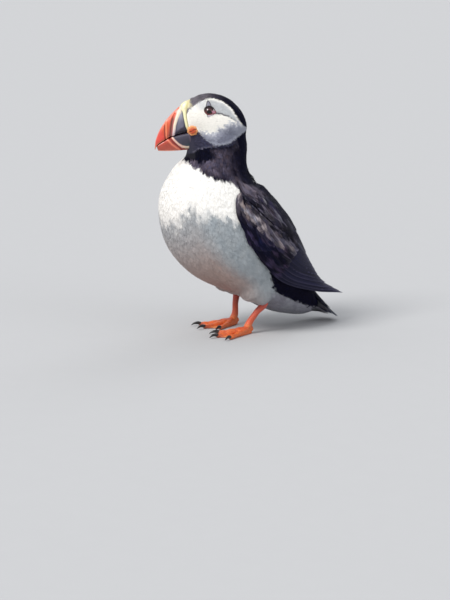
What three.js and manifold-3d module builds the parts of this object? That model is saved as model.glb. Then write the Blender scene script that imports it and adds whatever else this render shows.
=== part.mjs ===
// Atlantic puffin (Fratercula arctica), adult in summer dress, life size, standing still on both feet
// with its head turned to its right and the bill tipped down a little.
//
// Frame, millimetres: +Z up, the trunk faces -Y, the bird's left is +X, the soles stand on Z = 0.
// Most sizes below are given in the bird's upright middle plane as (forward, up), forward being -Y.

import * as THREE from "three";
import { mergeVertices } from "three/addons/utils/BufferGeometryUtils.js";
import Module from "manifold-3d";

const wasm = await Module();
wasm.setup();

// ------------------------------------------------------------------ driving dimensions
const GAP = 0.3; // free space between neighbouring pieces

// head: its own frame has its origin at the corner of the mouth line on the middle plane
const HEAD_CENTRE = { forward: 20.5, up: 183.5 }; // middle of the skull in the bird's frame
const HEAD_CENTRE_IN_HEAD = { along: -19, above: 4 }; // the same point in the head's frame
const HEAD_PITCH = 20; // degrees the bill points below the horizon
const HEAD_YAW = 22; // degrees the head is turned to the bird's right

// bill: culmen chord 46, greatest depth 38, width 15 at the gape
const BILL_TIP = { along: 37.0, above: -1.2 };
const BILL_MOUTH_GAP = 0.35;

// eye: 11 mm ball, its middle above and behind the gape
const EYE = { along: -16.4, above: 13.5, out: 12.2, radius: 5.6 };
const ROSETTE = { along: 1.9, above: 3.4, out: 9.7, radius: 4.7, thick: 3.0 };

// legs: tarsus 27, middle toe and claw 39
const LEG_LEFT = { side: 1, hipForward: -6, hipUp: 44, kneeForward: -16.5, kneeUp: 28.5, x: 23, footForward: -1.5, footX: 20, toeOut: 3 };
const LEG_RIGHT = { side: -1, hipForward: -6, hipUp: 46, kneeForward: -15.5, kneeUp: 30.5, x: 23, footForward: -11, footX: 20.5, toeOut: -7 };
const ANKLE_UP = 7.6;
const TARSUS = { half: 2.7, deeper: 1.3 }; // half width across, and how much more it is front to back
const SOLE_THICK = 1.6; // webs
const TOES = [
  // turn from straight ahead (positive = away from the middle plane), length, half width at the root
  { name: "inner", turn: -25, length: 28, half: 2.2 },
  { name: "middle", turn: 1, length: 34, half: 2.4 },
  { name: "outer", turn: 26, length: 32.5, half: 2.2 },
];
const CLAW = { length: 7.6, half: 1.45 };

// ------------------------------------------------------------------ small maths
const rad = THREE.MathUtils.degToRad;
const clamp = (x, a, b) => Math.min(b, Math.max(a, x));
const lerp = (a, b, t) => a + (b - a) * t;
const ramp = (a, b, x) => {
  const t = clamp((x - a) / (b - a), 0, 1);
  return t * t * (3 - 2 * t);
};

// Smooth curve through rows of numbers keyed by their first column (parabolic slopes, Hermite spans).
function track(rows) {
  const n = rows.length,
    k = rows[0].length - 1;
  const slopes = rows.map((r, i) =>
    Array.from({ length: k }, (_, c) => {
      const d = (j) => (rows[j + 1][c + 1] - rows[j][c + 1]) / (rows[j + 1][0] - rows[j][0]);
      if (i === 0) return d(0);
      if (i === n - 1) return d(n - 2);
      const h0 = rows[i][0] - rows[i - 1][0],
        h1 = rows[i + 1][0] - rows[i][0];
      return (d(i) * h0 + d(i - 1) * h1) / (h0 + h1);
    }),
  );
  return (x) => {
    const xx = clamp(x, rows[0][0], rows[n - 1][0]);
    let i = 0;
    while (i < n - 2 && xx > rows[i + 1][0]) i++;
    const h = rows[i + 1][0] - rows[i][0],
      t = (xx - rows[i][0]) / h;
    const a = 2 * t ** 3 - 3 * t ** 2 + 1,
      b = t ** 3 - 2 * t ** 2 + t,
      c = -2 * t ** 3 + 3 * t ** 2,
      d = t ** 3 - t ** 2;
    return Array.from(
      { length: k },
      (_, q) => a * rows[i][q + 1] + b * h * slopes[i][q] + c * rows[i + 1][q + 1] + d * h * slopes[i + 1][q],
    );
  };
}

// Superellipse direction: (cos, sin) pushed outwards for p > 2.
function squircle(a, p) {
  const c = Math.cos(a),
    s = Math.sin(a);
  const k = Math.pow(Math.pow(Math.abs(c), p) + Math.pow(Math.abs(s), p), -1 / p);
  return [c * k, s * k];
}

// ------------------------------------------------------------------ solids
function toManifold(geometry) {
  let g = geometry.clone();
  for (const name of Object.keys(g.attributes)) if (name !== "position") g.deleteAttribute(name);
  g = mergeVertices(g, 1e-4);
  const vertProperties = new Float32Array(g.attributes.position.array);
  const triVerts = new Uint32Array(g.index.array);
  const make = () => new wasm.Manifold(new wasm.Mesh({ numProp: 3, vertProperties, triVerts }));
  let m = make();
  if (m.volume() < 0) {
    for (let i = 0; i < triVerts.length; i += 3) [triVerts[i + 1], triVerts[i + 2]] = [triVerts[i + 2], triVerts[i + 1]];
    m = make();
  }
  return m;
}

function toGeometry(manifold) {
  const m = manifold.getMesh();
  const v = new Float32Array(m.numVert * 3);
  for (let i = 0; i < m.numVert; i++) v.set(m.vertProperties.subarray(i * m.numProp, i * m.numProp + 3), i * 3);
  const g = new THREE.BufferGeometry();
  g.setAttribute("position", new THREE.BufferAttribute(v, 3));
  g.setIndex(new THREE.BufferAttribute(new Uint32Array(m.triVerts), 1));
  g.computeVertexNormals();
  return g;
}

// A closed body from a sphere's own net: place(angle, t) says where each point of ring t goes.
function ballLoft(around, rings, place) {
  const g = new THREE.SphereGeometry(1, around, rings);
  const p = g.attributes.position;
  for (let j = 0; j <= rings; j++)
    for (let i = 0; i <= around; i++) {
      const v = j / rings;
      const t = 0.45 * (0.5 - 0.5 * Math.cos(Math.PI * v)) + 0.55 * v;
      const q = place(((i % around) / around) * Math.PI * 2, t, j === 0 || j === rings);
      p.setXYZ(j * (around + 1) + i, q.x, q.y, q.z);
    }
  return toManifold(g);
}

// A closed plate from a box's own net: place(a, b, c), a and b from 0 to 1 and c -1 (under) or 1 (over).
function plateLoft(na, nb, place) {
  const g = new THREE.BoxGeometry(1, 1, 1, na, nb, 1);
  const p = g.attributes.position;
  for (let i = 0; i < p.count; i++) {
    const q = place(p.getX(i) + 0.5, p.getY(i) + 0.5, p.getZ(i) * 2);
    p.setXYZ(i, q.x, q.y, q.z);
  }
  return toManifold(g);
}

// A round tube with swelling halves along a curve, ends rounded.
function limb(points, halves, around, rings, flat = 1, grow = 0) {
  const curve = new THREE.CatmullRomCurve3(points, false, "centripetal");
  const size = track(halves);
  const length = curve.getLength();
  return ballLoft(around, rings, (a, t, end) => {
    const tt = lerp(-grow / length, 1 + grow / length, t);
    const tc = clamp(tt, 0, 1);
    const c = curve.getPointAt(tc),
      d = curve.getTangentAt(tc);
    c.addScaledVector(d, (tt - tc) * length);
    const side = new THREE.Vector3(0, 0, 1).cross(d);
    if (side.length() < 1e-3) side.set(1, 0, 0);
    side.normalize();
    const up = d.clone().cross(side);
    const [r] = size(tc);
    const cap = 0.12;
    const e = end ? 0 : Math.sqrt(Math.max(0, 1 - Math.pow(1 - clamp(Math.min(t, 1 - t) / cap, 0, 1), 2)));
    const rr = (r + grow) * e;
    return c.addScaledVector(side, Math.cos(a) * rr).addScaledVector(up, Math.sin(a) * rr * flat);
  });
}

const bird = (forward, up, x = 0) => new THREE.Vector3(x, -forward, up);

// ------------------------------------------------------------------ head frame
const yaw = rad(HEAD_YAW),
  pitch = rad(HEAD_PITCH);
const level = new THREE.Vector3(-Math.sin(yaw), -Math.cos(yaw), 0);
const headAlong = level.clone().multiplyScalar(Math.cos(pitch)).add(new THREE.Vector3(0, 0, -Math.sin(pitch)));
const headAbove = level.clone().multiplyScalar(Math.sin(pitch)).add(new THREE.Vector3(0, 0, Math.cos(pitch)));
const headLeft = new THREE.Vector3(Math.cos(yaw), -Math.sin(yaw), 0);
const headOrigin = bird(HEAD_CENTRE.forward, HEAD_CENTRE.up)
  .addScaledVector(headAlong, -HEAD_CENTRE_IN_HEAD.along)
  .addScaledVector(headAbove, -HEAD_CENTRE_IN_HEAD.above);
const inHead = (along, above, out = 0) =>
  headOrigin.clone().addScaledVector(headAlong, along).addScaledVector(headAbove, above).addScaledVector(headLeft, out);

// skull stations: along, top, bottom, half width, height of the widest point
const SKULL = track([
  [-44.2, -1.5, -5.5, 1.5, -3.5],
  [-43.4, 3.0, -10.5, 7.2, -3.5],
  [-41.0, 9.6, -15.5, 12.2, -3.0],
  [-36.0, 18.4, -19.5, 17.0, -2.0],
  [-28.0, 25.2, -21.5, 19.9, -1.0],
  [-20.0, 28.6, -21.3, 20.2, 0.0],
  [-13.0, 29.5, -20.2, 18.6, 1.0],
  [-6.0, 28.6, -18.2, 15.6, 2.5],
  [0.0, 26.6, -16.2, 12.2, 4.0],
  [6.0, 23.6, -14.4, 9.6, 5.0],
  [11.0, 20.0, -12.4, 7.8, 5.0],
]);
function skullPoint(a, along, grow = 0) {
  const [top, bottom, half, mid] = SKULL(along);
  const [c, s] = squircle(a, 2.25);
  const above = s > 0 ? mid + (top + grow - mid) * s : mid + (mid - bottom + grow) * s;
  // the crown is narrower than the cheeks
  const narrow = s > 0 ? 1 - 0.16 * s * s : 1 - 0.1 * s * s;
  return inHead(along, above, (half + grow) * c * narrow);
}
const skull = (grow = 0) =>
  ballLoft(26, 18, (a, t, end) => {
    const along = lerp(-44.2 - grow, 11 + grow, t);
    if (end) {
      const [top, bottom] = SKULL(along);
      return inHead(along, (top + bottom) / 2);
    }
    return skullPoint(a, along, grow);
  });

// Line where feathers end and the bill's sheath begins: above, along.
const BILL_BASE = track([
  [-40, 16.0],
  [-17, 9.0],
  [-12, 6.9],
  [-6, 6.3],
  [0, 5.4],
  [8, 4.0],
  [16, 2.5],
  [22, -0.2],
  [28, -5.0],
  [40, -12.0],
]);
// A wide wall across the head, its one face on that line: everything in front of it (shift moves it forward).
function frontOfBase(shift) {
  const s = new THREE.Shape();
  s.moveTo(70, -40);
  for (let k = 0; k <= 16; k++) {
    const above = lerp(-40, 40, k / 16);
    s.lineTo(BILL_BASE(above)[0] + shift, above);
  }
  s.lineTo(70, 40);
  s.closePath();
  const g = new THREE.ExtrudeGeometry(s, { depth: 80, bevelEnabled: false });
  const p = g.attributes.position;
  for (let i = 0; i < p.count; i++) {
    const q = inHead(p.getX(i), p.getY(i), p.getZ(i) - 40);
    p.setXYZ(i, q.x, q.y, q.z);
  }
  return toManifold(g);
}

// ------------------------------------------------------------------ bill
// along: top (culmen), mouth line, gonys (lower edge), half width at the mouth line, at the culmen, at the gonys
const BILL = track([
  [-6.0, 27.4, 1.0, -16.0, 9.8, 4.2, 4.0],
  [0.0, 26.7, 1.8, -14.6, 8.9, 3.7, 3.7],
  [5.0, 25.2, 2.5, -13.2, 8.0, 3.2, 3.3],
  [10.0, 23.2, 3.1, -11.9, 7.0, 2.8, 3.0],
  [16.0, 20.3, 3.7, -10.2, 5.9, 2.4, 2.6],
  [22.0, 16.6, 3.7, -8.4, 4.8, 2.1, 2.2],
  [27.0, 12.9, 2.9, -6.7, 3.9, 1.9, 1.9],
  [31.0, 8.9, 2.0, -5.2, 3.1, 1.7, 1.5],
  [34.5, 4.2, 0.7, -3.7, 2.3, 1.4, 1.1],
  [37.0, -1.2, -1.9, -2.4, 1.0, 0.7, 0.5],
]);
function billUpperPoint(a, along) {
  const [top, mouth, , half, ridge] = BILL(along);
  const [c, s] = squircle(a, 3);
  const low = mouth + BILL_MOUTH_GAP / 2;
  const q = (s + 1) / 2; // 0 at the cutting edge, 1 at the culmen
  const w = lerp(half, ridge, Math.pow(q, 1.15));
  return inHead(along, lerp(low, top, q), w * c);
}
function billLowerPoint(a, along) {
  const [, mouth, low, half, , keel] = BILL(along);
  const [c, s] = squircle(a, 3);
  const high = mouth - BILL_MOUTH_GAP / 2;
  const q = (1 - s) / 2; // 0 at the cutting edge, 1 at the gonys
  const w = lerp(half * 0.94, keel, q);
  return inHead(along, lerp(high, low, q), w * c);
}
const billHalf = (point, around, rings, mid, last) =>
  ballLoft(around, rings, (a, t, end) => {
    const along = lerp(-6, last, t);
    if (end) return inHead(along, mid(along));
    return point(a, along);
  });

// ------------------------------------------------------------------ neck and trunk
// One loft from inside the head down the neck and along the trunk to the root of the tail.
// t: forward, up, half width, depth towards the back, depth towards the breast
const BODY_ROWS = [
  [0, 19, 181, 20.5, 21, 19],
  [1, 19, 165, 24, 27.5, 23.5],
  [2, 19.5, 150, 26, 26.5, 26],
  [3, 21.5, 136, 33, 32, 38],
  [4, 21, 119, 41.5, 40, 49.5],
  [5, 14, 101, 46, 43, 53.5],
  [6, 3, 84, 47, 44, 49.5],
  [7, -12, 68, 44.5, 41.5, 41],
  [8, -29, 52, 37, 34, 32.5],
  [9, -48, 36, 27.5, 24, 26.5],
  [10, -67, 22.5, 18.5, 13, 16.5],
  [11, -85, 12.5, 10, 5, 6],
];
const BODY = track(BODY_ROWS);
function bodyFrame(t) {
  const c = BODY(t),
    lo = BODY(Math.max(0, t - 0.2)),
    hi = BODY(Math.min(11, t + 0.2));
  const df = hi[0] - lo[0],
    dz = hi[1] - lo[1],
    n = Math.hypot(df, dz);
  return { c, T: [df / n, dz / n], D: [dz / n, -df / n] };
}
function bodyPoint(a, t, grow = 0) {
  const { c, T, D } = bodyFrame(t);
  const [f, z, half, back, breast] = c;
  const [cx, s] = squircle(a, 2.12);
  // ends closed round
  const head = Math.sqrt(clamp(1 - Math.pow(1 - clamp(t / 0.9, 0, 1), 2), 0, 1));
  const tail = Math.sqrt(clamp(1 - Math.pow(1 - clamp((11 - t) / 0.9, 0, 1), 2), 0, 1));
  const e = Math.min(head, tail);
  const d = (s > 0 ? (back + grow) * s : (breast + grow) * s) * e;
  const shift = t > 10.9 ? grow * (t - 10.9) * 10 : 0;
  return bird(f + D[0] * d + T[0] * shift, z + D[1] * d + T[1] * shift, (half + grow) * cx * e);
}
const body = (around, rings, grow = 0, from = 0, to = 11) =>
  ballLoft(around, rings, (a, t, end) => bodyPoint(end ? 0 : a, lerp(from, to, t), grow));

// ------------------------------------------------------------------ folded wings
// The wing lies on a form of its own that follows the flank and runs on past the rump as a thin blade.
// t: forward, up, half width, depth towards the back, depth towards the breast
const FORM = track([
  [3, 21.5, 136, 34.2, 33.2, 38],
  [4, 21, 119, 42.5, 40.8, 49],
  [5, 14, 101, 47.2, 44, 53],
  [6, 3, 84, 48.3, 45.5, 49],
  [7, -12, 68, 46.4, 44.5, 42],
  [8, -30, 54, 40, 37.5, 34],
  [9, -50, 42, 31, 26, 24],
  [10, -75, 30.5, 20.5, 11.5, 12],
  [11, -109, 20, 8.5, 3, 4],
]);
function formPoint(a, t) {
  const c = FORM(t),
    lo = FORM(Math.max(3, t - 0.2)),
    hi = FORM(Math.min(11, t + 0.2));
  const df = hi[0] - lo[0],
    dz = hi[1] - lo[1],
    n = Math.hypot(df, dz);
  const D = [dz / n, -df / n];
  const [cx, s] = squircle(a, 2.12);
  const d = s > 0 ? c[3] * s : c[4] * s;
  return bird(c[0] + D[0] * d, c[1] + D[1] * d, c[2] * cx);
}
function formNormal(a, t) {
  const e = 0.02;
  const u = formPoint(a + e, t).sub(formPoint(a - e, t));
  const v = formPoint(a, Math.min(t + e, 11)).sub(formPoint(a, Math.max(t - e, 3)));
  const n = u.cross(v).normalize();
  const centre = FORM(t);
  if (n.dot(formPoint(a, t).sub(bird(centre[0], centre[1]))) < 0) n.negate();
  return n;
}
// Wing outline on the form: a from shoulder (0) to tip (1): station, lower edge, upper edge (degrees round the form).
const WING = track([
  [0.0, 3.5, 22, 50],
  [0.06, 3.7, 4, 62],
  [0.15, 4.25, -5, 70],
  [0.3, 5.25, -8, 75],
  [0.45, 6.25, -11, 78],
  [0.6, 7.35, -14, 80],
  [0.72, 8.3, -13, 80],
  [0.84, 9.35, -6, 80],
  [0.93, 10.15, 4, 78],
  [1.0, 10.97, 20, 72],
]);
const WING_THICK = track([
  [0.0, 0.6],
  [0.1, 2.0],
  [0.35, 4.8],
  [0.6, 4.6],
  [0.8, 3.2],
  [1.0, 1.2],
]);
const WING_FAIR = track([
  [0, 0.25],
  [0.2, 0.2],
  [0.36, 0.42],
  [0.52, 0.48],
  [0.6, 0.64],
  [0.72, 1],
  [1, 1],
]);
function wingPoint(side, a, b, c) {
  const [t, low, high] = WING(a);
  const ang = rad(lerp(low, high, b));
  const n = formNormal(ang, t);
  const round = Math.pow(Math.max(0, 1 - Math.pow(Math.abs(2 * b - 1), 3)), 0.6);
  const fair = lerp(1, WING_FAIR(a)[0], ramp(0.35, 0.7, b)); // its upper part thins into the back
  const thick = WING_THICK(a)[0] * fair;
  const h = c > 0 ? 0.7 + thick * round : -1.2;
  const p = formPoint(ang, t).addScaledVector(n, h);
  p.x = Math.max(p.x, 0.4) * side;
  return p;
}
const wing = (side) => plateLoft(14, 6, (a, b, c) => wingPoint(side, a, b, c));

// ------------------------------------------------------------------ tail
const TAIL = { rootForward: -64, rootUp: 37.5, tipForward: -104.5, tipUp: 2.9, rootHalf: 11, tipHalf: 15.5, thick: 2.6, rounding: 0.24, roof: 4.5 };
function tailPoint(a, b, c, grow = 0) {
  // a: root to tip, b: right to left
  const s = 2 * b - 1;
  const len = lerp(-0.02 * grow, 1 + 0.02 * grow - TAIL.rounding * s * s, a);
  const f = lerp(TAIL.rootForward, TAIL.tipForward, len),
    z = lerp(TAIL.rootUp, TAIL.tipUp, len);
  const half = lerp(TAIL.rootHalf, TAIL.tipHalf, Math.pow(Math.max(0, len), 0.8)) + grow;
  const sag = TAIL.roof * s * s;
  return bird(f + c * 0.2, z - sag + c * (TAIL.thick / 2 + grow) * (1 - 0.35 * a), s * half);
}
const tail = (grow = 0) => plateLoft(7, 6, (a, b, c) => tailPoint(a, b, c, grow));

// ------------------------------------------------------------------ legs
function thigh(leg, grow = 0) {
  const x = leg.side * leg.x;
  return limb(
    [bird(leg.hipForward + 6, leg.hipUp, x * 0.92), bird(lerp(leg.hipForward, leg.kneeForward, 0.5), lerp(leg.hipUp, leg.kneeUp, 0.6), x), bird(leg.kneeForward - 0.5, leg.kneeUp - 4.2, x)],
    [
      [0, 15],
      [0.35, 13.6],
      [0.7, 9],
      [1, 4.8],
    ],
    14,
    8,
    1,
    grow,
  );
}
function tarsus(leg, grow = 0) {
  const x = leg.side * leg.x,
    fx = leg.side * leg.footX;
  return limb(
    [bird(leg.kneeForward - 1.2, leg.kneeUp + 3, x), bird(leg.kneeForward, leg.kneeUp - 1, x), bird(lerp(leg.kneeForward, leg.footForward, 0.5), lerp(leg.kneeUp, ANKLE_UP, 0.5), lerp(x, fx, 0.5)), bird(leg.footForward - 0.6, ANKLE_UP + 0.6, fx), bird(leg.footForward + 1.2, ANKLE_UP - 1.6, fx)],
    [
      [0, TARSUS.half * 1.25],
      [0.25, TARSUS.half * 1.12],
      [0.6, TARSUS.half],
      [1, TARSUS.half * 1.25],
    ],
    10,
    8,
    TARSUS.deeper,
    grow,
  );
}
function toeLine(leg, toe) {
  const turn = rad(leg.side * (toe.turn + leg.toeOut));
  const fx = leg.side * leg.footX,
    ff = leg.footForward;
  const dir = [Math.sin(turn), Math.cos(turn)]; // left, forward
  const at = (d, up) => bird(ff + dir[1] * d, up, fx + dir[0] * d);
  return { at, dir };
}
function foot(leg) {
  let solid = null;
  const add = (m) => (solid = solid ? solid.add(m) : m);
  for (const toe of TOES) {
    const { at } = toeLine(leg, toe);
    const L = toe.length,
      h = toe.half;
    add(
      limb([at(-2.2, 4.6), at(L * 0.25, 3.7), at(L * 0.6, 2.3), at(L, 1.4)], [
        [0, h + 1],
        [0.3, h],
        [0.62, h * 0.86],
        [0.9, h * 0.72],
        [1, h * 0.55],
      ], 8, 7, 1),
    );
  }
  // webs: a thin sheet, its free edges hollow between the toes
  const tips = TOES.map((toe) => {
    const { at } = toeLine(leg, toe);
    return at(toe.length * 0.93, 0);
  });
  const heel = bird(leg.footForward - 4.2, 0, leg.side * leg.footX);
  const s = new THREE.Shape();
  s.moveTo(heel.x, heel.y);
  s.lineTo(tips[0].x, tips[0].y);
  for (let k = 0; k < 2; k++) {
    const m = tips[k].clone().lerp(tips[k + 1], 0.5).lerp(heel, 0.16);
    s.quadraticCurveTo(m.x, m.y, tips[k + 1].x, tips[k + 1].y);
  }
  s.closePath();
  const web = new THREE.ExtrudeGeometry(s, { depth: SOLE_THICK, bevelEnabled: false, curveSegments: 5 });
  add(toManifold(web));
  // the sole is flat on the ground
  const above = new THREE.BoxGeometry(200, 200, 60).translate(0, 0, 30);
  return solid.intersect(toManifold(above));
}
function claw(leg, toe, grow = 0) {
  const { at } = toeLine(leg, toe);
  const L = toe.length,
    c = CLAW.length;
  return limb(
    [at(L - 3.2, 2.0), at(L + c * 0.15, 2.5), at(L + c * 0.5, 1.7), at(L + c * 0.78, 0.55 + 0.2)],
    [
      [0, CLAW.half * 0.9],
      [0.3, CLAW.half],
      [0.75, CLAW.half * 0.55],
      [1, 0.35],
    ],
    8,
    6,
    1,
    grow,
  );
}

// ------------------------------------------------------------------ whole body, then parted
function slab(centre, normal, size = 400) {
  // half space as a box: everything on the side the normal points to
  const g = new THREE.BoxGeometry(size, size, size).translate(0, 0, size / 2);
  const q = new THREE.Quaternion().setFromUnitVectors(new THREE.Vector3(0, 0, 1), normal.clone().normalize());
  g.applyQuaternion(q);
  g.translate(centre.x, centre.y, centre.z);
  return toManifold(g);
}
function parted(solid, centre, normal) {
  const n = normal.clone().normalize();
  const over = solid.intersect(slab(centre.clone().addScaledVector(n, GAP / 2), n));
  const under = solid.intersect(slab(centre.clone().addScaledVector(n, -GAP / 2), n.clone().negate()));
  return [over, under];
}

const eyes = {},
  rosettes = {};
function ball(centre, radii, around, rings, axes = [headLeft, headAlong, headAbove]) {
  return ballLoft(around, rings, (a, t) => {
    const th = Math.PI * t;
    return centre
      .clone()
      .addScaledVector(axes[0], radii[0] * Math.cos(th))
      .addScaledVector(axes[1], radii[1] * Math.sin(th) * Math.cos(a))
      .addScaledVector(axes[2], radii[2] * Math.sin(th) * Math.sin(a));
  });
}
for (const [name, side] of [
  ["left", 1],
  ["right", -1],
]) {
  eyes[name] = (grow = 0) => ball(inHead(EYE.along, EYE.above, side * EYE.out), Array(3).fill(EYE.radius + grow), 13, 8);
  rosettes[name] = (grow = 0) =>
    ball(inHead(ROSETTE.along, ROSETTE.above, side * ROSETTE.out), [ROSETTE.thick + grow, ROSETTE.radius + grow, ROSETTE.radius * 0.92 + grow], 11, 6);
}

const shaft = body(30, 26);
const headLoft = skull();
const hidden = frontOfBase(-GAP / 2);
let flesh = headLoft.add(shaft);
const throat = inHead(12, -17.5);
let [head, below] = parted(flesh, throat, headAbove.clone().addScaledVector(headAlong, 0.05));
head = head.subtract(hidden);
const collar = bird(22, 134);
let [neck, trunk] = parted(below, collar, bird(0.32, 0.95).sub(bird(0, 0)));

const inFront = frontOfBase(GAP / 2);
let billUpper = billHalf(billUpperPoint, 18, 16, (s) => (BILL(s)[0] + BILL(s)[1]) / 2, BILL_TIP.along).intersect(inFront);
let billLower = billHalf(billLowerPoint, 14, 12, (s) => (BILL(s)[1] + BILL(s)[2]) / 2, BILL_TIP.along - 2.2).intersect(inFront);

const pieces = {};
for (const name of ["left", "right"]) {
  head = head.subtract(eyes[name](GAP)).subtract(rosettes[name](GAP));
  billUpper = billUpper.subtract(rosettes[name](GAP));
  billLower = billLower.subtract(rosettes[name](GAP));
}

const bodyGrown = body(30, 26, GAP + 0.15);
const tailSolid = tail().subtract(bodyGrown);
const tailGrown = tail(GAP);

const legs = { left: LEG_LEFT, right: LEG_RIGHT };
for (const [name, leg] of Object.entries(legs)) {
  const shank = tarsus(leg),
    shankGrown = tarsus(leg, GAP);
  pieces["thigh_" + name] = thigh(leg).subtract(bodyGrown).subtract(shankGrown);
  pieces["shank_" + name] = shank.subtract(bodyGrown);
  let f = foot(leg).subtract(shankGrown);
  for (const toe of TOES) {
    pieces["claw_" + toe.name + "_" + name] = claw(leg, toe).intersect(toManifold(new THREE.BoxGeometry(200, 200, 60).translate(0, 0, 30)));
    f = f.subtract(claw(leg, toe, GAP));
  }
  pieces["foot_" + name] = f;
  const side = leg.side;
  pieces["wing_" + name] = wing(side).subtract(bodyGrown).subtract(tailGrown);
}
Object.assign(pieces, {
  head,
  neck,
  trunk,
  tail: tailSolid,
  bill_upper: billUpper,
  bill_lower: billLower,
  eye_left: eyes.left(),
  eye_right: eyes.right(),
  gape_rosette_left: rosettes.left(),
  gape_rosette_right: rosettes.right(),
});

// ------------------------------------------------------------------ colours
const paint = {
  black: [0x17161a, 0.7],
  white: [0xe9e6df, 0.8],
  face: [0xd4d2cf, 0.8],
  red: [0xd8431e, 0.45],
  horn: [0xc04a22, 0.45],
  flesh: [0xe98a2e, 0.6],
  iris: [0x2a1512, 0.1],
  leg: [0xe0561b, 0.5],
  claw: [0x1a1614, 0.35],
};
const colourOf = (name) =>
  name === "head" ? "face" : name === "trunk" || name.startsWith("thigh") ? "white" : name === "bill_upper" ? "red" : name === "bill_lower" ? "horn" : name.startsWith("gape") ? "flesh" : name.startsWith("eye") ? "iris" : name.startsWith("shank") || name.startsWith("foot") ? "leg" : name.startsWith("claw") ? "claw" : "black";

const puffin = new THREE.Group();
puffin.name = "atlantic_puffin";
const whole = new THREE.Box3();
for (const [name, solid] of Object.entries(pieces)) {
  // slivers left by a cut are dropped: the largest body is the piece
  const largest = solid.decompose().sort((p, q) => q.volume() - p.volume())[0];
  const geometry = toGeometry(largest.simplify(0.03));
  geometry.computeBoundingBox();
  whole.union(geometry.boundingBox);
  const [color, roughness] = paint[colourOf(name)];
  const mesh = new THREE.Mesh(geometry, new THREE.MeshStandardMaterial({ color, roughness, metalness: 0 }));
  mesh.name = name;
  puffin.add(mesh);
}
// the frame's origin is under the middle of the bird's box
puffin.position.set(-(whole.min.x + whole.max.x) / 2, -(whole.min.y + whole.max.y) / 2, -whole.min.z);

export default puffin;
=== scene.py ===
# Atlantic puffin, life size, adult in summer dress: skin, coat, wings, tail, bill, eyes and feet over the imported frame.
# Lengths in this file are millimetres in the bird's own frame (x its left, forward = -y, z up, soles at z = 0)
# until they are written to a mesh, which is in metres in the row frame.
import math

import bpy
import numpy as np
from mathutils import Matrix, Vector
from mathutils.kdtree import KDTree


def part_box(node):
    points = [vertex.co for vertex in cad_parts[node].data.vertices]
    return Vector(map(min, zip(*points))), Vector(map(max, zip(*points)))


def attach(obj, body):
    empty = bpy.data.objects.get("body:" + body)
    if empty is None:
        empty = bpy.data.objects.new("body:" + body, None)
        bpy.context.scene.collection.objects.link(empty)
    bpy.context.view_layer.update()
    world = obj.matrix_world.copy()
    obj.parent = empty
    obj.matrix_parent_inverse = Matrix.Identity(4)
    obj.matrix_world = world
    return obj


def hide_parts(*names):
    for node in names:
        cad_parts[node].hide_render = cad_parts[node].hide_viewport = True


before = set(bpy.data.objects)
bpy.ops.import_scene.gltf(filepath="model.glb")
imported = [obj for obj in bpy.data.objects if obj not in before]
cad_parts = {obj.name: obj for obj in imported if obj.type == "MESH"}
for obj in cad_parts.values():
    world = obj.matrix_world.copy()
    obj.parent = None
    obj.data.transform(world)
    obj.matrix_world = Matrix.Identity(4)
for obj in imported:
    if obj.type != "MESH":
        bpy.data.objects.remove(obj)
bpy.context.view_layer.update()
SCENE = bpy.context.scene
rng = np.random.default_rng(20240611)


# =====================================================================================================
# small maths
# =====================================================================================================
def unit(v):
    return v / np.maximum(np.linalg.norm(v, axis=-1, keepdims=True), 1e-12)


def smoothstep(a, b, x):
    t = np.clip((np.asarray(x, float) - a) / (b - a), 0, 1)
    return t * t * (3 - 2 * t)


def lerp(a, b, t):
    return a + (b - a) * t


def dot(a, b):
    return (a * b).sum(-1)


def track(rows):
    """Smooth curve through rows of numbers keyed by their first column, the same one the solids use."""
    R = np.array(rows, float)
    X, Y = R[:, 0], R[:, 1:]
    h = X[1:] - X[:-1]
    d = (Y[1:] - Y[:-1]) / h[:, None]
    S = np.empty_like(Y)
    S[0], S[-1] = d[0], d[-1]
    if len(X) > 2:
        S[1:-1] = (d[1:] * h[:-1, None] + d[:-1] * h[1:, None]) / (h[:-1] + h[1:])[:, None]

    def f(x):
        x = np.clip(np.asarray(x, float), X[0], X[-1])
        i = np.clip(np.searchsorted(X, x, side="right") - 1, 0, len(X) - 2)
        H = h[i][..., None]
        t = ((x - X[i]) / h[i])[..., None]
        return (2 * t**3 - 3 * t**2 + 1) * Y[i] + (t**3 - 2 * t**2 + t) * H * S[i] + (-2 * t**3 + 3 * t**2) * Y[i + 1] + (t**3 - t**2) * H * S[i + 1]

    return f


def line(rows):
    """Straight spans between (x, y) pairs."""
    R = np.array(rows, float)
    return lambda x: np.interp(x, R[:, 0], R[:, 1])


def squircle(a, p):
    c, s = np.cos(a), np.sin(a)
    k = (np.abs(c) ** p + np.abs(s) ** p) ** (-1 / p)
    return c * k, s * k


def hash01(*v):
    """A repeatable number from 0 to 1 for each row of numbers."""
    h = np.zeros_like(np.asarray(v[0], float))
    for k, x in enumerate(v):
        h = h + np.asarray(x, float) * (12.9898 + 65.233 * k)
    return np.abs(np.sin(h) * 43758.5453) % 1.0


def lumps(P, scale, seed=0):
    """Smooth wandering value, about -1 to 1, from a few crossed sines: soft variation without a texture."""
    r = np.random.default_rng(seed)
    out = np.zeros(P.shape[:-1])
    for _ in range(7):
        k = unit(r.normal(size=3)) * r.uniform(0.6, 1.6) / scale * 2 * np.pi
        out += np.sin(P @ k + r.uniform(0, 6.28))
    return out / 3.2


def srgb(*c):
    """Linear colour from screen numbers 0 to 255."""
    c = np.array(c, float) / 255
    return np.where(c <= 0.04045, c / 12.92, ((c + 0.055) / 1.055) ** 2.4)


def mixc(a, b, t):
    t = np.asarray(t, float)[..., None]
    return np.asarray(a) * (1 - t) + np.asarray(b) * t


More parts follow.
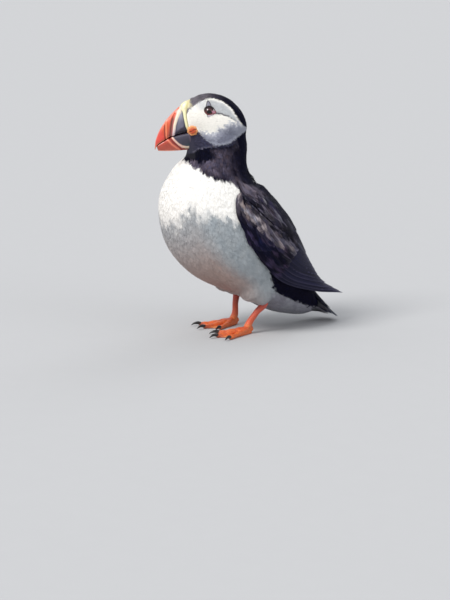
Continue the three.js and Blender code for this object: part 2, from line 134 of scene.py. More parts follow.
def in_loop(P, loop):
    """Signed distance of 2-D points to a closed loop: positive inside."""
    L = np.asarray(loop, float)
    A, B = L, np.roll(L, -1, 0)
    d = np.full(len(P), 1e9)
    inside = np.zeros(len(P), bool)
    for a, b in zip(A, B):
        e = b - a
        w = P - a
        t = np.clip((w @ e) / (e @ e), 0, 1)
        d = np.minimum(d, np.linalg.norm(w - t[:, None] * e, axis=1))
        c = ((a[1] > P[:, 1]) != (b[1] > P[:, 1])) & (P[:, 0] < (b[0] - a[0]) * (P[:, 1] - a[1]) / (b[1] - a[1] + 1e-12) + a[0])
        inside ^= c
    return np.where(inside, d, -d)


def rounded(loop, n=160, passes=2):
    """A closed loop of corners turned into a smooth closed curve (corner cutting)."""
    L = np.asarray(loop, float)
    for _ in range(passes + 1):
        nxt = np.roll(L, -1, 0)
        L = np.stack([L * 0.75 + nxt * 0.25, L * 0.25 + nxt * 0.75], 1).reshape(-1, L.shape[1])
    seg = np.linalg.norm(np.roll(L, -1, 0) - L, axis=1)
    at = np.concatenate([[0], np.cumsum(seg)])
    want = np.linspace(0, at[-1], n, endpoint=False)
    L2 = np.vstack([L, L[:1]])
    return np.stack([np.interp(want, at, L2[:, k]) for k in range(L.shape[1])], 1)


# =====================================================================================================
# the bird's measures (as in the solids)
# =====================================================================================================
YAW, PITCH = math.radians(22), math.radians(20)
LEVEL = np.array([-math.sin(YAW), -math.cos(YAW), 0])
ALONG = LEVEL * math.cos(PITCH) + np.array([0, 0, -math.sin(PITCH)])
ABOVE = LEVEL * math.sin(PITCH) + np.array([0, 0, math.cos(PITCH)])
LEFT = np.array([math.cos(YAW), -math.sin(YAW), 0])


def bird(f, u, x=0.0):
    f, u, x = np.broadcast_arrays(np.asarray(f, float), np.asarray(u, float), np.asarray(x, float))
    return np.stack([x, -f, u], -1)


HEAD_O = bird(20.5, 183.5) + 19 * ALONG - 4 * ABOVE


def in_head(s, v, x=0.0):
    s, v, x = np.broadcast_arrays(np.asarray(s, float), np.asarray(v, float), np.asarray(x, float))
    return HEAD_O + s[..., None] * ALONG + v[..., None] * ABOVE + x[..., None] * LEFT


def to_head(P):
    q = P - HEAD_O
    return q @ ALONG, q @ ABOVE, q @ LEFT


SKULL = track([[-44.2, -1.5, -5.5, 1.5, -3.5], [-43.4, 3.0, -10.5, 7.2, -3.5], [-41.0, 9.6, -15.5, 12.2, -3.0], [-36.0, 18.4, -19.5, 17.0, -2.0], [-28.0, 25.2, -21.5, 19.9, -1.0], [-20.0, 28.6, -21.3, 20.2, 0.0], [-13.0, 29.5, -20.2, 18.6, 1.0], [-6.0, 28.6, -18.2, 15.6, 2.5], [0.0, 26.6, -16.2, 12.2, 4.0], [6.0, 23.6, -14.4, 9.6, 5.0], [11.0, 20.0, -12.4, 7.8, 5.0]])
BILL_BASE = track([[-40, 16.0], [-17, 9.0], [-12, 6.9], [-6, 6.3], [0, 5.4], [8, 4.0], [16, 2.5], [22, -0.2], [28, -5.0], [40, -12.0]])
BILL = track([[-6.0, 27.4, 1.0, -16.0, 9.8, 4.2, 4.0], [0.0, 26.7, 1.8, -14.6, 8.9, 3.7, 3.7], [5.0, 25.2, 2.5, -13.2, 8.0, 3.2, 3.3], [10.0, 23.2, 3.1, -11.9, 7.0, 2.8, 3.0], [16.0, 20.3, 3.7, -10.2, 5.9, 2.4, 2.6], [22.0, 16.6, 3.7, -8.4, 4.8, 2.1, 2.2], [27.0, 12.9, 2.9, -6.7, 3.9, 1.9, 1.9], [31.0, 8.9, 2.0, -5.2, 3.1, 1.7, 1.5], [34.5, 4.2, 0.7, -3.7, 2.3, 1.4, 1.1], [37.0, -1.2, -1.9, -2.4, 1.0, 0.7, 0.5]])
BODY = track([[0, 19, 181, 20.5, 21, 19], [1, 19, 165, 24, 27.5, 23.5], [2, 19.5, 150, 26, 26.5, 26], [3, 21.5, 136, 33, 32, 38], [4, 21, 119, 41.5, 40, 49.5], [5, 14, 101, 46, 43, 53.5], [6, 3, 84, 47, 44, 49.5], [7, -12, 68, 44.5, 41.5, 41], [8, -29, 52, 37, 34, 32.5], [9, -48, 36, 27.5, 24, 26.5], [10, -67, 22.5, 18.5, 13, 16.5], [11, -85, 12.5, 10, 5, 6]])
FORM = track([[3, 21.5, 136, 34.2, 33.2, 38], [4, 21, 119, 42.5, 40.8, 49], [5, 14, 101, 47.2, 44, 53], [6, 3, 84, 48.3, 45.5, 49], [7, -12, 68, 46.4, 44.5, 42], [8, -30, 54, 40, 37.5, 34], [9, -50, 42, 31, 26, 24], [10, -75, 30.5, 20.5, 11.5, 12], [11, -109, 20, 8.5, 3, 4]])
WING = track([[0.0, 3.5, 22, 50], [0.06, 3.7, 4, 62], [0.15, 4.25, -5, 70], [0.3, 5.25, -8, 75], [0.45, 6.25, -11, 78], [0.6, 7.35, -14, 80], [0.72, 8.3, -13, 80], [0.84, 9.35, -6, 80], [0.93, 10.15, 4, 78], [1.0, 10.97, 20, 72]])
WING_THICK = track([[0.0, 0.6], [0.1, 2.0], [0.35, 4.8], [0.6, 4.6], [0.8, 3.2], [1.0, 1.2]])
WING_FAIR = track([[0, 0.25], [0.2, 0.2], [0.36, 0.42], [0.52, 0.48], [0.6, 0.64], [0.72, 1], [1, 1]])
TAIL = dict(root=(-64, 37.5), tip=(-104.5, 2.9), root_half=11, tip_half=15.5, thick=2.6, rounding=0.24, roof=4.5)
EYE = dict(along=-16.4, above=13.5, out=12.2, radius=5.6)
ROSETTE = dict(along=1.9, above=3.4, out=9.7, radius=4.7, thick=3.0)
LEGS = {
    "left": dict(side=1, hip=(-6, 44), knee=(-16.5, 28.5), x=23, foot=-1.5, foot_x=20, toe_out=3),
    "right": dict(side=-1, hip=(-6, 46), knee=(-15.5, 30.5), x=23, foot=-11, foot_x=20.5, toe_out=-7),
}
ANKLE_UP = 7.6
TOES = [("inner", -25, 28.0, 2.2), ("middle", 1, 34.0, 2.4), ("outer", 26, 32.5, 2.2)]
CLAW = dict(length=7.6, half=1.45)

_lo, _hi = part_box("eye_left")
_eye = in_head(EYE["along"], EYE["above"], EYE["out"])
SHIFT = np.array([0.0, round((_lo.y + _hi.y) * 500 - _eye[1], 3), 0.0])


def to_row(P):
    return (np.asarray(P, float) + SHIFT) * 0.001


# =====================================================================================================
# meshes
# =====================================================================================================
def make_mesh(name, V, F, attrs=None, uv=None, smooth=True, mats=(), mat_index=None, frame_mm=True):
    """V (n,3) in bird millimetres, F a list of index arrays (m,3) or (m,4). attrs: name -> (n,3|4) colours or (n,) numbers or (n,3) vectors."""
    V = to_row(V) if frame_mm else np.asarray(V, float)
    F = [np.asarray(f, np.int32) for f in (F if isinstance(F, list) else [F]) if len(f)]
    me = bpy.data.meshes.new(name)
    me.vertices.add(len(V))
    me.vertices.foreach_set("co", V.astype(np.float32).ravel())
    idx = np.concatenate([f.ravel() for f in F])
    tot = np.concatenate([np.full(len(f), f.shape[1], np.int32) for f in F])
    start = np.concatenate([[0], np.cumsum(tot)[:-1]]).astype(np.int32)
    me.loops.add(len(idx))
    me.loops.foreach_set("vertex_index", idx.astype(np.int32))
    me.polygons.add(len(tot))
    me.polygons.foreach_set("loop_start", start)
    me.polygons.foreach_set("loop_total", tot)
    me.polygons.foreach_set("use_smooth", np.full(len(tot), bool(smooth)))
    if mat_index is not None:
        me.polygons.foreach_set("material_index", np.asarray(mat_index, np.int32))
    me.update(calc_edges=True)
    for key, val in (attrs or {}).items():
        val = np.asarray(val, np.float32)
        if key == "tint":
            if val.shape[1] == 3:
                val = np.concatenate([val, np.ones((len(val), 1), np.float32)], 1)
            a = me.attributes.new(key, "FLOAT_COLOR", "POINT")
            a.data.foreach_set("color", val.ravel())
        elif val.ndim == 2:
            a = me.attributes.new(key, "FLOAT_VECTOR", "POINT")
            a.data.foreach_set("vector", val.ravel())
        else:
            a = me.attributes.new(key, "FLOAT", "POINT")
            a.data.foreach_set("value", val.ravel())
    if uv is not None:
        layer = me.uv_layers.new(name="OFBake")
        layer.data.foreach_set("uv", np.asarray(uv, np.float32)[idx].ravel())
    for m in mats:
        me.materials.append(m)
    me.validate()
    ob = bpy.data.objects.new(name, me)
    SCENE.collection.objects.link(ob)
    return ob


def grid_faces(n, m, wrap_m=False, offset=0):
    """Quads of an n by m grid of points (row-major)."""
    i, j = np.meshgrid(np.arange(n - 1), np.arange(m if wrap_m else m - 1), indexing="ij")
    a = i * m + j
    b = i * m + (j + 1) % m
    return np.stack([a, b, b + m, a + m], -1).reshape(-1, 4) + offset


def loft_mesh(P):
    """Closed mesh from rings P (rings, around, 3): its first and last rings are capped by a point at their middles."""
    n, m, _ = P.shape
    V = np.concatenate([P.reshape(-1, 3), P[0].mean(0)[None], P[-1].mean(0)[None]])
    quads = grid_faces(n, m, True)
    j = np.arange(m)
    cap0 = np.stack([np.full(m, n * m), (j + 1) % m, j], 1)
    cap1 = np.stack([np.full(m, n * m + 1), (n - 1) * m + j, (n - 1) * m + (j + 1) % m], 1)
    return V, quads, np.concatenate([cap0, cap1])


def vertex_normals(V, F):
    N = np.zeros_like(V)
    for f in F:
        if f.shape[1] == 4:
            fn = np.cross(V[f[:, 2]] - V[f[:, 0]], V[f[:, 3]] - V[f[:, 1]])
        else:
            fn = np.cross(V[f[:, 1]] - V[f[:, 0]], V[f[:, 2]] - V[f[:, 0]])
        for k in range(f.shape[1]):
            for c in range(3):
                N[:, c] += np.bincount(f[:, k], fn[:, c], minlength=len(V))
    return unit(N)


def edges_of(F):
    e = np.concatenate([np.stack([f[:, k], f[:, (k + 1) % f.shape[1]]], 1) for f in F for k in range(f.shape[1])])
    e = np.unique(np.sort(e, 1), axis=0)
    return e


def relax(X, E, n, passes, amount=0.5, weight=None):
    """Averages each point's value with its neighbours'."""
    deg = np.bincount(E.ravel(), minlength=n).astype(float)[:, None]
    X = X.copy()
    for _ in range(passes):
        S = np.stack([np.bincount(E[:, 0], X[E[:, 1], c], minlength=n) + np.bincount(E[:, 1], X[E[:, 0], c], minlength=n) for c in range(X.shape[1])], 1)
        D = (S / np.maximum(deg, 1) - X) * amount
        X += D if weight is None else D * weight[:, None]
    return X


def skull_point(a, along):
    c = SKULL(along)
    cx, s = squircle(a, 2.25)
    above = np.where(s > 0, c[..., 3] + (c[..., 0] - c[..., 3]) * s, c[..., 3] + (c[..., 3] - c[..., 1]) * s)
    narrow = np.where(s > 0, 1 - 0.16 * s * s, 1 - 0.1 * s * s)
    return above, c[..., 2] * cx * narrow


def loft_point(T, a, t, lo, hi, p=2.12, closed=False):
    c, l, h = T(t), T(np.maximum(lo, t - 0.2)), T(np.minimum(hi, t + 0.2))
    d = unit(h[..., :2] - l[..., :2])
    cx, s = squircle(a, p)
    q = np.where(s > 0, c[..., 3] * s, c[..., 4] * s)
    w = c[..., 2] * cx
    if closed:
        e = np.minimum(np.sqrt(np.clip(1 - (1 - np.clip(t / 0.9, 0, 1)) ** 2, 0, 1)), np.sqrt(np.clip(1 - (1 - np.clip((11 - t) / 0.9, 0, 1)) ** 2, 0, 1)))
        q, w = q * e, w * e
    return bird(c[..., 0] + d[..., 1] * q, c[..., 1] - d[..., 0] * q, w)


def limb(points, halves, na, nr, flat=1.0):
    """A round tube along a smooth curve: rings of points (nr, na, 3)."""
    P = np.asarray(points, float)
    seg = np.linalg.norm(P[1:] - P[:-1], axis=1)
    key = np.concatenate([[0], np.cumsum(seg)]) / seg.sum()
    C = track(np.column_stack([key, P]))
    R = track(halves)
    t = 0.5 - 0.5 * np.cos(np.pi * np.linspace(0, 1, nr))
    t = 0.5 * t + 0.5 * np.linspace(0, 1, nr)
    c = C(t)
    d = unit(C(np.minimum(1, t + 0.01)) - C(np.maximum(0, t - 0.01)))
    side = unit(np.cross(np.array([0, 0, 1.0]), d) + np.array([1e-6, 0, 0]))
    up = np.cross(d, side)
    cap = 0.12
    e = np.sqrt(np.clip(1 - (1 - np.clip(np.minimum(t, 1 - t) / cap, 0, 1)) ** 2, 0, 1))
    r = R(t)[:, 0] * e
    a = np.linspace(0, 2 * np.pi, na, endpoint=False)
    return c[:, None] + (side[:, None] * np.cos(a)[None, :, None] + up[:, None] * np.sin(a)[None, :, None] * flat) * r[:, None, None], c, d, side, up


# =====================================================================================================
# skin: head, neck, trunk and thighs as one surface
# =====================================================================================================
def build_skin_core():
    parts = []
    # head, its front flattened on the line where the bill's sheath begins
    t = np.linspace(0, 1, 70)
    t = 0.45 * (0.5 - 0.5 * np.cos(np.pi * t)) + 0.55 * t
    al = lerp(-44.15, 11, t)
    a = np.linspace(0, 2 * np.pi, 96, endpoint=False)
    A, S = np.meshgrid(a, al)
    v, x = skull_point(A, S)
    s = np.minimum(S, BILL_BASE(v)[..., 0] + 0.4)
    parts.append(in_head(s, v, x))
    # neck and trunk
    t = np.linspace(0.0, 11.0, 130)
    A, T = np.meshgrid(a, t)
    parts.append(loft_point(BODY, A, np.clip(T, 0.002, 10.998), 0, 11, closed=True))
    for leg in LEGS.values():
        x = leg["side"] * leg["x"]
        (hf, hu), (kf, ku) = leg["hip"], leg["knee"]
        pts = [bird(hf + 6, hu, x * 0.92), bird(lerp(hf, kf, 0.5), lerp(hu, ku, 0.6), x), bird(kf - 0.5, ku - 4.2, x)]
        parts.append(limb(pts, [[0, 15], [0.35, 13.6], [0.7, 9], [1, 4.8]], 40, 36)[0])
    V, Q, T3, n = [], [], [], 0
    for P in parts:
        v_, q_, t_ = loft_mesh(P)
        V.append(v_)
        Q.append(q_ + n)
        T3.append(t_ + n)
        n += len(v_)
    ob = make_mesh("skin_rough", np.concatenate(V), [np.concatenate(Q), np.concatenate(T3)])
    mod = ob.modifiers.new("union", "REMESH")
    mod.mode = "VOXEL"
    mod.voxel_size = 0.00105
    dg = bpy.context.evaluated_depsgraph_get()
    me = bpy.data.meshes.new_from_object(ob.evaluated_get(dg), depsgraph=dg)
    nv, nf = len(me.vertices), len(me.polygons)
    co = np.empty(nv * 3, np.float32)
    me.vertices.foreach_get("co", co)
    tot = np.empty(nf, np.int32)
    me.polygons.foreach_get("loop_total", tot)
    idx = np.empty(len(me.loops), np.int32)
    me.loops.foreach_get("vertex_index", idx)
    assert (tot == 4).all()
    V = co.reshape(-1, 3).astype(float) * 1000 - SHIFT
    F = idx.reshape(-1, 4)
    bpy.data.objects.remove(ob)
    bpy.data.meshes.remove(me)
    # keep the one outer surface
    lab = components(F, len(V))
    big = np.bincount(lab[F[:, 0]]).argmax()
    keepf = lab[F[:, 0]] == big
    F = F[keepf]
    used = np.unique(F)
    remap = -np.ones(len(V), int)
    remap[used] = np.arange(len(used))
    return V[used], remap[F]


def components(F, n):
    lab = np.arange(n)
    E = np.concatenate([F[:, [0, 1]], F[:, [1, 2]], F[:, [2, 3]]])
    while True:
        m = np.minimum(lab[E[:, 0]], lab[E[:, 1]])
        new = lab.copy()
        np.minimum.at(new, E[:, 0], m)
        np.minimum.at(new, E[:, 1], m)
        new = new[new]
        if (new == lab).all():
            return lab
        lab = new


print("skin core")
SV, SF = build_skin_core()
SE = edges_of([SF])
_s, _v, _x = to_head(SV)
# the joins of the head with the neck and of the thighs with the belly are smoothed most
_join = np.exp(-(((_v + 19) / 7) ** 2)) * smoothstep(30, 12, np.abs(SV[:, 0] - 3)) * (SV[:, 2] > 140)
_leg = np.exp(-(((SV[:, 2] - 36) / 12) ** 2)) * (np.abs(SV[:, 1] - 8) < 26)
SV = relax(SV, SE, len(SV), 10, 0.5)
SV = relax(SV, SE, len(SV), 60, 0.5, np.clip(_join + _leg, 0, 1))
SN = vertex_normals(SV, [SF])
if dot(SN, SV - SV.mean(0)).mean() < 0:
    SF = SF[:, ::-1]
    SN = -SN
SNs = unit(relax(SN, SE, len(SV), 6, 0.5))
print("skin", len(SV), "verts")


# =====================================================================================================
# where each point of the skin lies: round the trunk (t, ang), in the head (s, v), under a wing (a, b)
# =====================================================================================================
def tree(P):
    kd = KDTree(len(P))
    for i, p in enumerate(P.tolist()):
        kd.insert(p, i)
    kd.balance()
    return kd


def nearest(kd, P):
    find = kd.find
    return np.fromiter((find(p)[1] for p in P.tolist()), np.int64, len(P))


def form_point(a, t):
    return loft_point(FORM, a, t, 3, 11)


def form_normal(a, t):
    e = 0.02
    u = form_point(a + e, t) - form_point(a - e, t)
    v = form_point(a, np.minimum(t + e, 11)) - form_point(a, np.maximum(t - e, 3))
    n = unit(np.cross(u, v))
    c = FORM(t)
    flip = dot(n, form_point(a, t) - bird(c[..., 0], c[..., 1])) < 0
    return np.where(flip[..., None], -n, n)


def wing_point(a, b, h, side=1):
    w = WING(a)
    ang = np.radians(lerp(w[..., 1], w[..., 2], b))
    t = w[..., 0]
    p = form_point(ang, t) + form_normal(ang, t) * np.asarray(h)[..., None]
    p[..., 0] = np.maximum(p[..., 0], 0.4) * side
    return p


def wing_top(a, b):
    """Height of the folded wing's outer surface over the form."""
    r = np.maximum(0, 1 - np.abs(2 * np.clip(b, 0, 1) - 1) ** 3) ** 0.6
    fair = lerp(1, WING_FAIR(a)[..., 0], smoothstep(0.35, 0.7, b))
    return 0.7 + WING_THICK(a)[..., 0] * fair * r


_tt, _aa = np.meshgrid(np.linspace(0.02, 10.98, 420), np.radians(np.linspace(-90, 90, 121)), indexing="ij")
_grid = loft_point(BODY, _aa, _tt, 0, 11, closed=True).reshape(-1, 3)
BODY_KD, BODY_T, BODY_A = tree(_grid), _tt.ravel(), np.degrees(_aa.ravel())
_a, _b = np.meshgrid(np.linspace(0, 1, 150), np.linspace(-0.2, 1.2, 85), indexing="ij")
_wg = wing_point(_a, _b, np.zeros_like(_a)).reshape(-1, 3)
WING_KD, WING_A, WING_B, WING_P = tree(_wg), _a.ravel(), _b.ravel(), _wg


def round_trunk(P):
    Q = P.copy()
    Q[:, 0] = np.abs(Q[:, 0])
    i = nearest(BODY_KD, Q)
    return BODY_T[i], BODY_A[i]


def under_wing(P):
    Q = P.copy()
    Q[:, 0] = np.abs(Q[:, 0])
    i = nearest(WING_KD, Q)
    return WING_A[i], WING_B[i], np.linalg.norm(Q - WING_P[i], axis=1)


# ----------------------------------------------------------------------------------------- markings, with painted shade and sheen
FACE = rounded([(-1.3, 20.8), (-6.8, 22.8), (-11.9, 24.2), (-17.5, 24.5), (-22.8, 23.4), (-27.4, 20.1), (-31.6, 16.1), (-34.6, 10.3), (-36.1, 4.1), (-37.6, -2.7), (-39.4, -8.2), (-43.4, -13.2), (-38.4, -13.4), (-31.7, -14.9), (-24.9, -16.5), (-18.1, -16.8), (-11.1, -14.4), (-7.0, -10.9), (-4.5, -6.3), (-3.1, -1.7), (-1.6, 1.2), (2.5, 3.4), (7, 5), (9, 8), (9, 15), (3.2, 17.2)], passes=1)
EYELINE = [(-19.4, 11.6), (-20.6, 11.1), (-24.2, 9.3), (-27.0, 7.2), (-30.1, 4.2), (-32.9, 0.9), (-36.1, -3.7), (-40.0, -9.5)]
CHEEKLINE = line([(-42, -9.5), (-35.5, -3.6), (-28.8, -1.5), (-23.9, -1.8), (-19.2, -1.7), (-15.3, -2.8), (-12.5, -4.1), (-5.8, -0.4), (-3.1, 2.6), (0, 4.5)])
CHIN = [(8.5, -13.4), (2.8, -12.2), (-4.0, -13.0), (-10.3, -14.9), (-16.0, -17.0), (-20, -18.5)]
CHIN_LINE = line([(a, b) for a, b in CHIN[::-1]])
WHITE = [(2.33, -130), (2.33, -100), (2.43, -82), (2.53, -69), (2.70, -51), (2.83, -37), (2.95, -27), (3.05, -18), (3.10, -9), (3.20, -1), (3.38, 6), (3.68, 10), (4.5, 12), (6.0, 6), (6.5, -11), (7.12, -13.5), (7.73, -22), (8.08, -30), (8.72, -27), (9.25, -24), (9.6, -22), (10.12, -19), (11.3, -14), (11.3, -130)]
# the station along the trunk, for each angle round it, below which the belly's painted shade begins
BELLY = line([(-95, 4.25), (-82, 4.3), (-64, 4.15), (-51, 4.05), (-36, 4.15), (-22, 4.3), (-12, 4.6), (0, 5.2), (20, 6)])


def poly_distance(P, poly):
    d = np.full(len(P), 1e9)
    for a, b in zip(np.array(poly[:-1], float), np.array(poly[1:], float)):
        e = b - a
        w = P - a
        t = np.clip((w @ e) / (e @ e), 0, 1)
        d = np.minimum(d, np.linalg.norm(w - t[:, None] * e, axis=1))
    return d


C_WHITE = srgb(250, 248, 244)
C_FACE = srgb(250, 247, 240)
C_BLACK = srgb(12, 11, 26)
C_BLUEBLACK = srgb(13, 14, 33)


def near(P, poly, w):
    return np.exp(-((poly_distance(P, poly) / w) ** 2))


SHOULDER = [(19.0, 132.0), (7.2, 123.5), (-5.4, 115.3)]


def plumage(P, t, ang):
    """Colour of the coat rooted at P: the same for the skin under it."""
    s, v, x = to_head(P)
    mott = lumps(P, 9, 3)
    fine = lumps(P, 3.2, 5)
    # neck and trunk
    # with the head turned, the white stands higher on the breast's right
    turned = 0.6 * smoothstep(2, -10, P[:, 0]) * smoothstep(-15, -50, ang) * smoothstep(3.6, 2.6, t)
    q = np.stack([(t + turned) * 11.0, ang * 0.62], 1)
    loop = [(a * 11.0, b * 0.62) for a, b in WHITE]
    white = in_loop(q, loop)
    jag = 0.9 * fine + 0.6 * mott
    front = smoothstep(30, -35, ang)
    # painted sheen: the black of the neck's front greyed in streaks
    throat = np.clip(front * smoothstep(-0.1, 0.7, t) * (0.65 + 0.4 * mott + 0.12 * fine) * smoothstep(3.2, 2.6, t), 0, 1)
    black = mixc(C_BLACK, C_BLUEBLACK, smoothstep(0, 50, ang) * 0.8)
    nape = black
    black = mixc(black, srgb(98, 90, 106), throat * 0.85)
    # a greyish gleam over the shoulder, in front of the folded wing
    shoulder = near(np.stack([-P[:, 1], P[:, 2]], 1), SHOULDER, 5.2) * smoothstep(12, 18, np.abs(P[:, 0]))
    black = mixc(black, srgb(112, 104, 117), np.clip(shoulder * (0.75 + 0.35 * mott + 0.2 * fine), 0, 1) * 0.85)
    # painted shade: the lower breast and belly greyed below BELLY, where the body turns from the light
    belly = smoothstep(-0.16, 0.22, t - BELLY(ang) + 0.10 * fine + 0.12 * mott)
    body = mixc(C_WHITE, srgb(150, 158, 164), belly * (0.93 + 0.05 * mott))
    # painted shade warmed by light reflected from the legs: brown on the lower belly, reddish lower still
    brown = np.exp(-(((t - 6.3) / 1.5) ** 2)) * smoothstep(-30, -52, ang)
    body = mixc(body, srgb(176, 151, 142), brown * (0.9 + 0.06 * fine))
    body = mixc(body, srgb(158, 120, 110), np.exp(-(((t - 6.9) / 0.8) ** 2)) * smoothstep(-52, -76, ang) * 0.75)
    # painted shade: the undertail greyed
    body = mixc(body, srgb(122, 120, 131), smoothstep(7.9, 8.6, t) * (0.85 + 0.15 * mott))
    out = mixc(black, body, smoothstep(-0.35, 0.35, white + jag * 0.5))
    # head
    crown_t = np.clip((4 - s) / 46, 0, 1)
    crown = mixc(srgb(132, 127, 137), srgb(96, 91, 98), smoothstep(0.05, 0.42, crown_t))
    crown = mixc(crown, srgb(54, 51, 62), smoothstep(0.46, 0.66, crown_t))
    crown = mixc(crown, nape, smoothstep(0.64, 0.84, crown_t))
    crown = mixc(crown, nape, smoothstep(-4, -12, v) * (s < -30))
    crown = mixc(crown, srgb(224, 214, 172), smoothstep(-6.0, -3.0, s + 0.8 * fine) * smoothstep(21.0, 23.5, v) * 0.9)
    chin = mixc(srgb(58, 57, 75), srgb(50, 50, 67), smoothstep(-6, -12, v))
    under = smoothstep(0.0, -1.1, v - CHIN_LINE(s) + 0.3 * fine)
    chin = mixc(chin, srgb(104, 102, 118), near(np.stack([s, v], 1), CHIN, 0.5) * smoothstep(-17, -8, s) * 0.8)
    gloss = np.clip(0.65 + 0.4 * mott + 0.12 * fine, 0, 1) * smoothstep(-3, -10, s) * smoothstep(np.where(x > 0, -38, -22), np.where(x > 0, -16, -12), s) * smoothstep(0.5, 3.5, CHIN_LINE(s) - v) * front
    chin = mixc(chin, mixc(srgb(12, 12, 26), srgb(98, 90, 106), gloss * 0.75), under)
    # chin only below and in front of the cheek; the nape and crown above and behind
    low = smoothstep(7, 2, v) * smoothstep(-30, -22, s)
    outer = mixc(crown, chin, low)
    fs = np.stack([s, v], 1)
    # a black nape between the two sides of the face
    face_in = np.minimum(in_loop(fs, FACE), (np.abs(x) - 5.6 + 0.5 * fine) + 30 * smoothstep(-34, -20, s))
    eyeline = poly_distance(fs, EYELINE)
    el = np.interp(s, [p[0] for p in EYELINE][::-1], [p[1] for p in EYELINE][::-1])
    face = np.broadcast_to(C_FACE, P.shape).copy()
    above = smoothstep(-0.6, 0.8, v - el) * smoothstep(-15, -20, s)
    face = mixc(face, srgb(184, 188, 192), above * smoothstep(-1.2, 1.4, face_in - 1.2) * 0.9)
    face = mixc(face, srgb(208, 210, 214), smoothstep(15, 20, v) * smoothstep(-20, -14, s) * smoothstep(-7, -11, s) * 0.7)
    # the cheek's lower part: the bird's own grey drawn out in streaks, deepened towards the chin by painted shade,
    # paler again at its lower edge
    streak = 1.3 * np.sin(s * 1.7 + v * 2.3 + 2 * fine) + 1.2 * fine
    down = CHEEKLINE(s) - v
    grey = mixc(srgb(198, 200, 208), srgb(150, 153, 167), smoothstep(-0.5, 4.0, down + streak))
    # painted shade: the lower cheek deepened to slate
    grey = mixc(grey, srgb(112, 115, 132), smoothstep(3.0, 8.5, down + 0.7 * streak) * smoothstep(-36, -24, s))
    grey = mixc(grey, srgb(150, 153, 166), smoothstep(3.0, 0.8, face_in) * smoothstep(-6, -12, v) * 0.8)
    cheek = smoothstep(-1.8, 1.2, down + streak) * smoothstep(-1.5, -4.5, s)
    face = mixc(face, grey, cheek)
    face = mixc(face, srgb(52, 52, 64), np.exp(-((eyeline / lerp(0.75, 0.45, smoothstep(-22, -33, s))) ** 2)) * smoothstep(-38, -30, s) * 0.97)
    head = mixc(outer, face, smoothstep(-0.35, 0.35, face_in + 0.18 * fine))
    is_head = smoothstep(-25.5, -22.5, v) * (P[:, 2] > 150)
    out = mixc(out, head, is_head)
    return out


ST, SA = round_trunk(SV)
HS, HV, HX = to_head(SV)
HEADNESS = smoothstep(-27, -17, HV) * smoothstep(150, 158, SV[:, 2]) * smoothstep(-52, -46, HS)
_eye_d = np.hypot(HS + 16.6, HV - 15.0)
_base_d = HS - BILL_BASE(HV)[:, 0]
_thigh = np.zeros(len(SV))
for leg in LEGS.values():
    _c = bird(leg["knee"][0], leg["knee"][1] - 2, leg["side"] * leg["x"])
    _thigh = np.maximum(_thigh, smoothstep(20, 6, np.linalg.norm(SV - _c, axis=1)))
DEPTH = lerp(1.2, 1.55, smoothstep(2.4, 4.2, ST))
DEPTH = lerp(DEPTH, 0.9, HEADNESS)
DEPTH = lerp(DEPTH, 1.0, _thigh)
DEPTH = lerp(DEPTH, 0.45, smoothstep(-5, 0, _base_d) * HEADNESS)
DEPTH = lerp(DEPTH, 0.45, smoothstep(8, 5, _eye_d) * HEADNESS)
DEPTH = relax(DEPTH[:, None], SE, len(SV), 12)[:, 0]

# furrow behind the eye
_furrow = np.exp(-((poly_distance(np.stack([HS, HV], 1), EYELINE[1:]) / 1.1) ** 2)) * smoothstep(-17, -20, HS) * smoothstep(-41, -33, HS) * HEADNESS
SKIN_OUT = SV - SNs * (0.55 * _furrow)[:, None]
# over the crown skin and coat lie a little lower
_crown = smoothstep(14, 22, HV) * HEADNESS * smoothstep(-1.0, -4.0, _base_d)
SKIN = SKIN_OUT - SNs * (DEPTH + 0.75 * _crown)[:, None]
SKIN_N = unit(relax(vertex_normals(SKIN, [SF]), SE, len(SV), 4))
SKIN_KD = tree(SKIN)
SKIN_TINT = plumage(SV, ST, SA)
SWA, SWB, SWD = under_wing(SV)

# ----------------------------------------------------------------------------------------- lie of the coat
_line_p, _line_t = [], []
for _s in np.arange(14, -21, -2.0):
    _line_p.append(in_head(_s, 3.0))
    _line_t.append(-ALONG)
HEAD_LINES = len(_line_p)
for _t in np.arange(0.0, 11.01, 0.18):
    _c, _l, _h = BODY(_t), BODY(max(0, _t - 0.2)), BODY(min(11, _t + 0.2))
    _line_p.append(bird(_c[0], _c[1]))
    _line_t.append(unit(bird(_h[0], _h[1]) - bird(_l[0], _l[1])))
CENTRE, CENTRE_T = np.array(_line_p), np.array(_line_t)


def lie(P, N):
    D = np.zeros_like(P)
    # the head's own line has no say below the chin
    chin_side = smoothstep(-25, -15, to_head(P)[1])
    for k, (c, t) in enumerate(zip(CENTRE, CENTRE_T)):
        w = np.exp(-((P - c) ** 2).sum(1) / (2 * 15.0**2))
        if k < HEAD_LINES:
            w = w * (0.02 + 0.98 * chin_side)
        D += w[:, None] * t
    D = unit(D)
    for leg in LEGS.values():
        k = bird(leg["knee"][0], leg["knee"][1], leg["side"] * leg["x"])
        h = bird(leg["hip"][0] + 2, leg["hip"][1], leg["side"] * leg["x"])
        e = unit(k - h)
        d = np.linalg.norm((P - k) - ((P - k) @ e)[:, None] * e, axis=1)
        w = smoothstep(19, 10, d) * smoothstep(44, 32, P[:, 2])
        D = unit(D * (1 - w)[:, None] + e * w[:, None])
    return unit(D - dot(D, N)[:, None] * N)


LIE = lie(SKIN, SKIN_N)
LIE = relax(LIE, SE, len(SV), 8)
LIE = unit(LIE - dot(LIE, SKIN_N)[:, None] * SKIN_N)

# unwrap of the skin's own shape: how far along the bird's middle line, and how far round it
_arc = np.concatenate([[0], np.cumsum(np.linalg.norm(np.diff(CENTRE, axis=0), axis=1))])
_arc /= _arc[-1]


